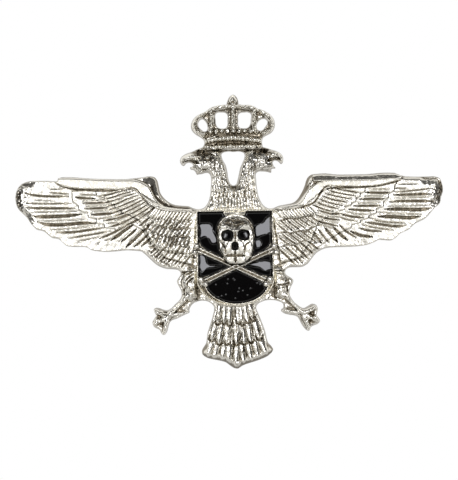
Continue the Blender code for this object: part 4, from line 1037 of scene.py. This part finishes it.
def make_casting():
    """The eagle, as two wings and the body between them."""
    field = eagle_relief()
    # the colour's darkening: dark oxide and painted shade in recesses, darker where the grain is
    # coarse, and painted shade over the listed dark patches
    oxide_and_painted_shade = recess_oxide_and_painted_shade_of(field) - 3.0 * field.grain - painted_shade_of(field)
    x = (field.x[:-1, :-1] + field.x[1:, 1:]) / 2
    z = (field.z[:-1, :-1] + field.z[1:, 1:]) / 2
    tall = (z < WING_CUT_TOP) & (z > WING_CUT_LOW)
    left, right = (x < -WING_CUT) & tall, (x > WING_CUT) & tall
    pockets = [spot + POST_RECESS for spot in POSTS]
    pins = [spot + RIVET_RECESS for spot in RIVETS]
    for name, part, holes in (("casting_wing_left", left, pockets[:1]),
                              ("casting_wing_right", right, pockets[1:]),
                              ("casting_body", ~left & ~right, pins)):
        obj = relief_object(name, field, 0.0, oxide_and_painted_shade, part, holes)
        finish_relief(obj, LOOK_CASTING, LOOK_BACK)
        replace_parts(obj, "eagle_casting")


SHIELD_HALF, SHIELD_TOP = 6.4, 2.55
SHIELD_TURN, SHIELD_BOTTOM = -8.9, -13.35   # where the sides start to curve in, and the tip
# the lower edge of the lowest enamel field is an ellipse: (x, z, half width, drop)
ENAMEL_EDGE = (0.2, -8.95, 5.15, 3.75)


def shield_loop():
    """The shield's outline: straight at the top and half an ellipse at the bottom."""
    drop = SHIELD_TURN - SHIELD_BOTTOM
    angles = [math.pi * i / CIRCLE_STEPS for i in range(CIRCLE_STEPS + 1)]
    bottom = [(SHIELD_HALF * math.cos(a), SHIELD_TURN - drop * math.sin(a)) for a in angles]
    return [(-SHIELD_HALF, SHIELD_TOP), (SHIELD_HALF, SHIELD_TOP)] + bottom


def past_enamel(field):
    """Roughly the distance outwards from the lower edge of the lowest enamel field."""
    x, z, half, drop = ENAMEL_EDGE
    return (np.hypot((field.x - x) / half, np.minimum(field.z - z, 0) / drop) - 1) * 4.4


TRAY_BACK, TRAY_FLOOR = 2.05, 2.75
RIM_HALF, RIM_RISE = 0.26, 1.25
TRAY_TAB = [(-2.2, 2.4), (2.2, 2.4), (1.7, 1.35), (-1.7, 1.35)]
RIM_BEADS = 44


def make_tray():
    """The shield's floor, its rim, a beaded second rim below and a tab at the top."""
    field = Relief((-6.8, -13.8), (6.8, 3.0), FINE_STEP)
    field.inside = field.signed([shield_loop()], REACH)
    field.h += TRAY_FLOOR
    across = ramp(1 - ((field.inside - RIM_HALF) / RIM_HALF) ** 2)
    field.h += RIM_RISE * across ** 0.5
    past = past_enamel(field)
    band = ramp(-9.0 - field.z, 0.3) * ramp(past, 0.1)
    second = ramp(1 - ((past - 0.16) / 0.16) ** 2)
    field.h = np.maximum(field.h, TRAY_FLOOR + band * (0.5 + 0.7 * second ** 0.5))
    field.ground = np.full_like(field.h, 3.35)
    for index in range(RIM_BEADS):
        angle = math.pi * (0.06 + 0.88 * (index + 0.5) / RIM_BEADS)
        x, z = 5.75 * math.cos(angle), SHIELD_TURN - 4.08 * math.sin(angle)
        field.dome(x, z, 0.14, 0.14, 0.6)
    tab = ramp(field.signed([TRAY_TAB], 0.6), 0.2)
    slope = RIM_RISE - 0.36 * (field.z - 1.4)
    field.h = np.maximum(field.h, TRAY_FLOOR + slope * tab ** 0.5)
    field.h += field.noise(0.2, 8) * 0.02
    # the colour darkens on the low floor (dark oxide and painted shade) and on the band below the
    # lowest enamel field
    oxide_and_painted_shade = ramp(0.35 + 0.6 * (field.h - TRAY_FLOOR) / 0.8 - 0.62 * band)
    obj = relief_object("shield_tray_relief", field, TRAY_BACK, oxide_and_painted_shade)
    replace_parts(finish_relief(obj, LOOK_SHIELD), "shield_tray")


# patches of the enamel that lean towards a light: (field, outline)
PATCHES = [
    ("chief_left", [(-5.8, 0.0), (-4.5, 0.3), (-3.7, -0.2), (-3.5, -1.0), (-2.9, -2.1),
                    (-3.0, -2.8), (-3.7, -2.9), (-4.1, -2.1), (-4.8, -1.8), (-5.8, -2.3)]),
    ("chief_right", [(6.0, 1.4), (5.2, 1.1), (4.4, 0.3), (3.5, -0.2), (3.2, -1.0), (3.4, -2.0),
                     (4.4, -1.8), (5.5, -1.6), (6.0, -1.7)]),
    ("chief_right", [(3.4, -3.0), (3.9, -2.6), (4.2, -3.0), (4.0, -3.6), (3.5, -3.8)]),
    ("flank_left", [(-5.8, -4.9), (-4.9, -5.0), (-4.4, -5.9), (-4.1, -6.4), (-2.4, -6.6),
                    (-3.2, -7.0), (-4.2, -7.0), (-4.9, -7.2), (-5.4, -7.8), (-5.7, -7.4)]),
    ("flank_right", [(2.0, -6.5), (3.4, -6.1), (4.9, -5.8), (6.0, -5.9), (6.0, -7.5), (5.0, -7.5),
                     (4.0, -7.1), (2.9, -6.8)]),
    ("eye_left", [(-1.95, -1.35), (-1.35, -1.25), (-1.3, -1.95), (-1.8, -2.2)]),
    ("eye_right", [(1.55, -1.45), (2.1, -1.35), (2.15, -2.0), (1.75, -2.2)]),
]
PATCH_LEAN = 0.2            # their slope
BUBBLES = 20                # in the lowest field
# the skull's openings: (x, z, half width, half height, turn)
SOCKETS = {
    "enamel_eye_left": (-1.2, -1.73, 0.9, 0.8, 8), "enamel_eye_right": (1.4, -1.66, 0.9, 0.76, -8),
    "enamel_nose": (-0.02, -3.45, 0.46, 0.6, 0),
}
SOCKET_GAP = 0.02           # space between an opening and the glass in it
SOCKET_LIFT = 0.9           # how far the skull's glass stands in front of its CAD solid


def socket_loop(x, z, rx, rz, turn, gap):
    """A rounded, slightly square opening."""
    cos, sin = math.cos(math.radians(turn)), math.sin(math.radians(turn))
    loop = []
    for angle in np.arange(36) * math.pi / 18:
        u = (rx - gap) * math.copysign(abs(math.cos(angle)) ** 0.8, math.cos(angle))
        v = (rz - gap) * math.copysign(abs(math.sin(angle)) ** 0.8, math.sin(angle))
        loop.append((x + u * cos - v * sin, z + u * sin + v * cos))
    return loop


def make_enamel(node, seed):
    """One field of black glass, a little lower than the metal round it."""
    loops, level = flat_loops(node, -1, 3)
    if node in SOCKETS:
        loops, level = [socket_loop(*SOCKETS[node], SOCKET_GAP)], level - SOCKET_LIFT * MM
    spots = np.array([p for loop in loops for p in loop])
    field = Relief(spots.min(0) - 0.3, spots.max(0) + 0.3, FINE_STEP)
    field.inside = field.signed(loops, REACH)
    if node == "enamel_base":
        field.inside = np.minimum(field.inside, -past_enamel(field))
    front = -level / MM
    back = -max(v.co.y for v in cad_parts[node].data.vertices) / MM
    field.h += front - 0.12 + 0.03 * ramp(field.inside, 0.2)
    sway = 0.1 * field.noise(0.5, seed)
    for label, outline in PATCHES:
        if node == "enamel_" + label:
            x, z = np.mean(outline, 0)
            soft = 0.12 if node in SOCKETS else 0.3
            area = field.signed([smooth_loop(outline, 4)], 0.6) + 0.12 + sway
            lean = PATCH_LEAN * (math.copysign(0.85, x) * (field.x - x) + 0.52 * (field.z - z))
            field.h -= eased(lean, ramp(area, soft))
    field.ground = field.h.copy()
    if node == "enamel_base":
        for _ in range(BUBBLES):
            field.dome(RANDOM.uniform(-4, 4), RANDOM.uniform(-12, -8), 0.09, 0.09, 0.03)
    obj = relief_object(node + "_glass", field, back)
    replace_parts(finish_relief(obj, LOOK_ENAMEL), node)


# the skull's outline, lumps (as for the eagle) and engraved lines
SKULL = [
    (0.1, 1.72), (1.5, 1.4), (2.6, 0.5), (3.05, -0.8), (3.1, -2.6), (3.0, -3.9), (2.6, -5.1),
    (2.0, -5.9), (1.1, -6.35), (-0.6, -6.35), (-1.5, -5.9), (-2.0, -5.0), (-2.5, -4.0),
    (-2.75, -2.8), (-2.9, -1.0), (-2.5, 0.4), (-1.4, 1.4),
]
SKULL_LUMPS = [
    (-1.65, -0.6, 0.75, 0.42, 0.14, 10), (1.75, -0.45, 0.8, 0.45, 0.14, -10),
    (-0.32, -2.2, 0.3, 0.9, 0.18, 8), (0.38, -2.2, 0.3, 0.9, 0.18, -8),
    (-0.98, -3.6, 0.55, 1.1, 0.2, -25), (0.98, -3.6, 0.55, 1.1, 0.2, 25),
    (-2.3, -1.8, 0.3, 0.9, 0.12, 0), (2.5, -1.7, 0.28, 0.9, 0.12, 0),
    (2.15, -3.6, 0.65, 1.2, 0.16, 15), (-0.85, -5.7, 0.75, 0.65, 0.2, 0),
    (0.95, -5.7, 0.8, 0.65, 0.2, 0), (2.0, -5.0, 0.5, 0.7, 0.12, 20),
]
SKULL_LINES = [
    (0.16, 0.30, [(0.03, -1.0), (0.03, -1.9), (0.0, -2.9)]),
    (0.26, 0.40, [(-2.3, -2.75), (-1.7, -3.6), (-1.55, -4.7)]),
    (0.22, 0.35, [(2.5, -2.7), (1.65, -3.4), (1.5, -4.7)]),
    (0.26, 0.50, [(-1.8, -4.95), (0.0, -4.95), (1.6, -5.0)]),
    (0.24, 0.45, [(0.0, -4.1), (0.0, -5.0), (0.05, -6.2)]),
    (0.14, 0.25, [(-0.62, -4.55), (-0.62, -5.3)]), (0.14, 0.25, [(0.62, -4.55), (0.62, -5.3)]),
    (0.14, 0.25, [(-1.15, -4.6), (-1.15, -5.3)]), (0.14, 0.25, [(1.15, -4.6), (1.15, -5.3)]),
    (0.16, 0.15, [(-0.8, 1.0), (-0.2, 0.6), (0.4, 0.9), (1.2, 0.4)]),
    (0.16, 0.15, [(-1.8, 0.2), (-0.9, 0.3), (0.2, -0.1), (1.4, 0.2)]),
    (0.22, 0.30, [(0.0, -2.75), (0.0, -3.1)]),
]
# the ends of each bone's shaft, and the middles of the knobs
BONES = [((-6.35, -3.75), (5.45, -9.35)), ((6.4, -3.95), (-5.4, -9.3))]
KNOBS = [(-6.25, -3.35), (-6.6, -4.3), (5.55, -8.85), (4.9, -9.65), (6.3, -3.5), (6.65, -4.45),
         (-5.6, -8.8), (-4.85, -9.55)]
# a bone's half width along its shaft: (share of the length, half width)
BONE_WIDTHS = [(0, 0.58), (0.1, 0.46), (0.3, 0.40), (0.7, 0.40), (0.9, 0.46), (1, 0.58)]
KNOB_RADIUS = 0.55
BONE_BACK, BONE_EDGE = 3.2, 3.9     # heights of the bones' back and of the top of their wall


def make_bones():
    """The two crossed bones, open where the skull covers them."""
    field = Relief((-7.6, -10.7), (7.6, -2.5), FINE_STEP)
    far = np.full_like(field.x, 9.0)
    top = np.zeros_like(field.x)
    for order, ((x0, z0), (x1, z1)) in enumerate(BONES):
        path = [(x0 + (x1 - x0) * t, z0 + (z1 - z0) * t, half) for t, half in BONE_WIDTHS]
        win, away, _, share, half = field.near_path(path, 1.6)
        far[win] = np.minimum(far[win], away - half)
        body = 4.15 + 0.1 * order + 0.3 * np.sqrt(1 - ramp(away, half) ** 2.5)
        hollow = 0.45 * np.exp(-(away / 0.2) ** 2)
        body = body - hollow * ramp(np.minimum(share, 1 - share) * 9)
        top[win] = np.where(away < half, np.maximum(top[win], body), top[win])
    for x, z in KNOBS:
        win = field.window([(x, z)], 1.4)
        away = np.hypot(field.x[win] - x, field.z[win] - z)
        far[win] = np.minimum(far[win], away - KNOB_RADIUS)
        lump = 4.3 + 0.55 * np.sqrt(ramp(1 - (away / KNOB_RADIUS) ** 2))
        top[win] = np.where(away < KNOB_RADIUS, np.maximum(top[win], lump), top[win])
    skull = field.signed([smooth_loop(SKULL, 5)], 1.0)
    field.inside = np.minimum(-far, -0.05 - skull)
    field.h = np.where(top > 0, top, 4.1) + 0.02 * field.noise(0.15, 21)
    field.h = BONE_EDGE + (field.h - BONE_EDGE) * ramp(field.inside, 0.12)
    # the colour darkens in recesses (dark oxide and painted shade) and next to the skull's edge, a
    # painted shadow of the skull
    oxide_and_painted_shade = ramp(0.46 + (field.h - field.blur(field.h, 0.22)) / 0.16
                  - 0.25 * ramp(1 + skull, 0.5))
    obj = relief_object("crossbones_relief", field, BONE_BACK, oxide_and_painted_shade)
    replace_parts(finish_relief(obj, LOOK_SKULL), "crossbones")


SKULL_STEP = 0.05
SKULL_BACK, SKULL_EDGE = 2.8, 2.95  # heights of the skull's back and of the top of its wall


def make_skull():
    """The skull, with a rounded rim and openings for the eyes and the nose."""
    field = Relief((-3.5, -6.8), (3.6, 2.2), SKULL_STEP)
    x, z = field.x, field.z
    field.inside = field.signed([smooth_loop(SKULL, 5)], REACH)
    brow = -0.95 + 0.75 * ramp(np.abs(x) - 0.7, 0.7)
    flange = 0.02 + 0.26 * ramp(z + 1.8, 1.4)
    face = 5.35 + 0.12 * field.inside
    head = 4.85 + 0.47 * (1.5 - np.maximum(z, brow))
    head = face + (head - face) * ramp(1 - (brow - z) / 0.5)
    low = 4.75 + 0.12 * np.minimum(field.inside, flange)
    field.h += low + eased(head - low, ramp(field.inside - flange, 0.18))
    # the jaw's left side lies lower
    left = ramp(-1.5 - x, 0.3) * ramp(-2.4 - z, 0.4)
    field.h -= 0.5 * left * np.maximum(-1.5 - x, 0)
    loops = [socket_loop(*socket, 0) for socket in SOCKETS.values()]
    sockets = field.signed(loops, REACH)
    field.ground = field.h.copy()
    for spot in SKULL_LUMPS:
        field.dome(*spot, power=3.0)
    for width, depth, points in SKULL_LINES:
        field.groove(points, width, depth)
    around = ramp(1 + sockets / 0.14)
    field.cut = np.maximum(field.cut, 0.5 * around)
    rough = 0.010 + 0.010 * ramp(z - brow, 0.3) + 0.03 * left
    field.h += rough * (field.noise(0.12, 31) + field.noise(0.3, 32))
    field.h = np.maximum(field.h - field.cut, 3.0)
    field.h = SKULL_EDGE + (field.h - SKULL_EDGE) * ramp(field.inside, 0.08)
    field.inside = np.minimum(field.inside, -sockets)
    # painted shade: the forehead above the brow and the rims of the eye and nose openings are
    # darkened in the colour
    painted_shade = 0.8 * ramp(z - brow, 0.4) * ramp(field.inside - 0.45, 0.3)
    painted_shade = painted_shade * np.clip(1 + 0.5 * field.noise(0.1, 33), 0.2, 2) + 0.5 * around
    oxide_and_painted_shade = ramp(0.7 + (field.h - field.blur(field.h, 0.25)) / 0.2
                  + 0.4 * (field.h - field.blur(field.h, 0.8)) / 0.5 - painted_shade)
    obj = relief_object("skull_relief", field, SKULL_BACK, oxide_and_painted_shade)
    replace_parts(finish_relief(obj, LOOK_SKULL), "skull")


for piece in (make_casting, make_tray, make_bones, make_skull):
    piece()
for seed, label in enumerate(("chief_left", "chief_right", "flank_left", "flank_right", "base",
                              "eye_left", "eye_right", "nose"), 40):
    make_enamel("enamel_" + label, seed)


# ---------------------------------------------------------------- posts, washers and nuts
PITCH = 0.5
THREAD_DEPTH = 0.27
THREAD_ENDS = (0.3, 10.66)
POST_RADIUS = 1.5
KNURLS, KNURL_STEPS, KNURL_DEPTH = 28, 6, 0.26
# sections through turned pieces: (radius, y)
POST_FOOT = [(2.5, -0.6), (2.5, -0.02), (POST_RADIUS, -0.02), (POST_RADIUS, 0.25)]
POST_TIP = [(1.15, 11.0)]
SOLDER_PROFILE = [(1.3, 0.02), (3.0, 0.01), (2.75, 0.1), (2.3, 0.17), (1.9, 0.26), (1.62, 0.42),
                  (1.3, 0.44)]
WASHER_PROFILE = [(1.60, 5.08), (1.68, 5.0), (5.38, 5.0), (5.5, 5.12), (5.5, 5.5), (5.4, 5.6),
                  (1.68, 5.6), (1.60, 5.52)]
# the nut's section: (radius, y, how strongly knurled)
NUT_PROFILE = [
    (1.58, 5.95, 0), (1.85, 5.66, 0), (4.55, 5.66, 0), (4.7, 5.7, 0.3), (5.0, 5.95, 1),
    (5.0, 7.15, 1), (4.7, 7.4, 0.3), (4.55, 7.44, 0), (4.15, 7.44, 0), (4.08, 7.36, 0),
    (3.98, 7.36, 0), (3.9, 7.44, 0), (3.15, 7.44, 0), (3.0, 7.55, 0), (3.0, 8.12, 0),
    (2.8, 8.32, 0), (1.85, 8.32, 0), (1.58, 8.05, 0),
]


def round_rows(section, steps):
    """The radii of plain rings and their y, from a section of (radius, y)."""
    section = np.array(section)
    return np.repeat(section[:, :1], steps, axis=1), section[:, 1]


def turned_piece(name, radii, levels, spot, look, closed):
    """A turned body from rings of radii, each at its y; open rings get a centre at each end."""
    rows, steps = radii.shape
    turn = np.arange(steps) * 2 * math.pi / steps
    heights = np.repeat(levels[:, None], steps, axis=1)
    x, z = spot[0] + radii * np.cos(turn), spot[1] + radii * np.sin(turn)
    verts = np.stack([x, heights, z], -1).reshape(-1, 3)
    number = np.arange(rows * steps).reshape(rows, steps)
    if closed:
        number = np.vstack([number, number[:1]])
    right = np.roll(number, -1, axis=1)
    quads = np.stack([number[:-1], number[1:], right[1:], right[:-1]], -1).reshape(-1, 4)
    faces, smooth = [quads], [np.ones(len(quads), bool)]
    if not closed:
        for row, order in ((0, 1), (rows - 1, -1)):
            verts = np.vstack([verts, [[spot[0], levels[row], spot[1]]]])
            ring = number[row][::order]
            centre = np.full(steps, len(verts) - 1)
            faces.append(np.stack([ring, np.roll(ring, -1), centre], 1))
            smooth.append(np.zeros(steps, bool))
    obj = build_mesh(name, verts * MM, faces, np.concatenate(smooth), {})
    obj.data.materials.append(look)
    return obj


def smooth_by_angle(obj, degrees=35.0):
    """Sharp edges where the faces meet steeply."""
    work = bmesh.new()
    work.from_mesh(obj.data)
    for edge in work.edges:
        if len(edge.link_faces) == 2:
            edge.smooth = edge.calc_face_angle(0.0) < math.radians(degrees)
    work.to_mesh(obj.data)
    work.free()


def make_fastening(side, spot):
    """A threaded post with its solder, a washer and a knurled nut."""
    turn = np.arange(CIRCLE_STEPS) * 2 * math.pi / CIRCLE_STEPS
    levels = np.arange(*THREAD_ENDS, PITCH / 6)
    phase = (levels[:, None] / PITCH + turn[None, :] / (2 * math.pi)) % 1
    run_in = ramp(levels - THREAD_ENDS[0], 0.8)[:, None]
    thread = POST_RADIUS - THREAD_DEPTH * run_in * np.abs(2 * phase - 1)
    foot, foot_levels = round_rows(POST_FOOT, CIRCLE_STEPS)
    tip, tip_levels = round_rows(POST_TIP, CIRCLE_STEPS)
    radii = np.vstack([foot, thread, tip])
    levels = np.concatenate([foot_levels, levels, tip_levels])
    post = turned_piece("stud_%s_threaded" % side, radii, levels, spot, LOOK_POST, False)
    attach(post, "badge")
    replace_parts(post, "stud_" + side)

    lumps = 1 + 0.05 * np.sin(3 * turn + spot[0]) + 0.03 * np.sin(7 * turn)
    radii, levels = round_rows(SOLDER_PROFILE, CIRCLE_STEPS)
    radii = np.where(radii > 1.7, radii * lumps, radii)
    solder = turned_piece("solder_" + side, radii, levels, spot, LOOK_SOLDER, True)
    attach(solder, "badge")

    radii, levels = round_rows(WASHER_PROFILE, WASHER_STEPS)
    washer = turned_piece("washer_%s_stamped" % side, radii, levels, spot, LOOK_STEEL, True)
    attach(washer, "washer_" + side)
    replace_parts(washer, "washer_" + side)

    share = (np.arange(KNURLS * KNURL_STEPS) / KNURL_STEPS) % 1
    groove = KNURL_DEPTH * np.abs(2 * share - 1)
    section = np.array(NUT_PROFILE)
    radii = section[:, :1] - groove * section[:, 2:]
    nut = turned_piece("nut_%s_knurled" % side, radii, section[:, 1], spot, LOOK_NUT, True)
    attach(nut, "nut_" + side)
    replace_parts(nut, "nut_" + side)
    for obj in (post, solder, washer, nut):
        smooth_by_angle(obj)


for side, spot in zip(("left", "right"), POSTS):
    make_fastening(side, spot)
for label in ("shield_rivet_upper", "shield_rivet_lower"):
    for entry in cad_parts[label].material_slots:
        entry.material = LOOK_POST


# ---------------------------------------------------------------- surroundings and camera
# lights in the sky: (direction, angles in degrees where it starts and ends to fade, strength,
# colour).  The weak negative one dims the middle of the broad front light.
LIGHTS = [
    ((-0.03, -1.0, 0.03), 20, 46, 0.84, (1.0, 0.99, 0.965)),
    ((0.0, -1.0, 0.0), 4, 8, -0.87, (1.0, 0.99, 0.965)),
    ((-0.36, -1.0, 0.22), 7, 10, 7.0, (0.93, 0.94, 1.0)),
    ((0.36, -1.0, 0.22), 7, 10, 7.0, (0.93, 0.94, 1.0)),
    ((0.0, 1.0, 0.0), 80, 104, 0.78, (1.0, 0.985, 0.95)),
]
AMBIENT = (0.075, 0.073, 0.07)


def build_world():
    """A sky of a few soft lights, seen as white by the camera itself."""
    world = bpy.data.worlds.new("studio")
    bpy.context.scene.world = world
    world.use_nodes = True
    nodes, links = world.node_tree.nodes, world.node_tree.links
    nodes.clear()
    spot = nodes.new("ShaderNodeTexCoord")

    def vector_node(operation):
        made = nodes.new("ShaderNodeVectorMath")
        made.operation = operation
        return made

    def lobe(direction, inner, outer, strength, colour):
        """Light from round one direction, fading between two angles in degrees."""
        dot = vector_node('DOT_PRODUCT')
        dot.inputs[1].default_value = Vector(direction).normalized()
        links.new(spot.outputs["Generated"], dot.inputs[0])
        fade = preset(nodes.new("ShaderNodeMapRange"), From_Min=math.cos(math.radians(outer)),
                      From_Max=math.cos(math.radians(inner)))
        fade.interpolation_type = 'SMOOTHSTEP'
        links.new(dot.outputs["Value"], fade.inputs["Value"])
        scale = vector_node('SCALE')
        scale.inputs[0].default_value = [c * strength for c in colour]
        links.new(fade.outputs["Result"], scale.inputs["Scale"])
        return scale.outputs["Vector"]

    parts = [lobe(*light) for light in LIGHTS]
    total = parts[0]
    for part in parts[1:]:
        join = vector_node('ADD')
        links.new(total, join.inputs[0])
        links.new(part, join.inputs[1])
        total = join.outputs["Vector"]
    base = vector_node('ADD')
    base.inputs[1].default_value = AMBIENT
    links.new(total, base.inputs[0])
    seen = nodes.new("ShaderNodeLightPath")
    pick = nodes.new("ShaderNodeMix")
    pick.data_type = 'RGBA'
    pick.inputs["B"].default_value = (1.0, 1.0, 1.0, 1.0)
    links.new(seen.outputs["Is Camera Ray"], pick.inputs["Factor"])
    links.new(base.outputs["Vector"], pick.inputs["A"])
    light = nodes.new("ShaderNodeBackground")
    links.new(pick.outputs["Result"], light.inputs["Color"])
    out = nodes.new("ShaderNodeOutputWorld")
    links.new(light.outputs["Background"], out.inputs["Surface"])


def build_floor():
    """A pale round floor below the badge."""
    mesh = bpy.data.meshes.new("floor")
    work = bmesh.new()
    bmesh.ops.create_circle(work, cap_ends=True, segments=64, radius=0.15)
    work.to_mesh(mesh)
    work.free()
    floor = bpy.data.objects.new("floor", mesh)
    floor.location = (0.0, 0.0, -0.065)
    bpy.context.scene.collection.objects.link(floor)
    look, _, _, shader = new_material("pale_floor")
    preset(shader, Base_Color=(0.9, 0.9, 0.9, 1.0), Roughness=0.9)
    mesh.materials.append(look)


CAMERA_AIM = (-0.97, 0.0, -2.46)    # in millimetres
CAMERA_DISTANCE = 0.296             # in metres
CAMERA_LEAN = 0.85                  # turn about the line of sight in degrees


def build_camera():
    """A long lens straight in front of the badge."""
    data = bpy.data.cameras.new("camera")
    data.lens = 135.0
    data.sensor_width = 36.0
    camera = bpy.data.objects.new("camera", data)
    bpy.context.scene.collection.objects.link(camera)
    aim = Vector([value * MM for value in CAMERA_AIM])
    spot = aim + Vector((0.0, -CAMERA_DISTANCE, 0.0))
    turn = Matrix.Rotation(math.radians(90), 4, 'X')
    turn = turn @ Matrix.Rotation(-math.radians(CAMERA_LEAN), 4, 'Z')
    camera.matrix_world = Matrix.Translation(spot) @ turn
    bpy.context.scene.camera = camera


build_world()
build_floor()
build_camera()
bpy.context.scene.view_settings.view_transform = 'Standard'
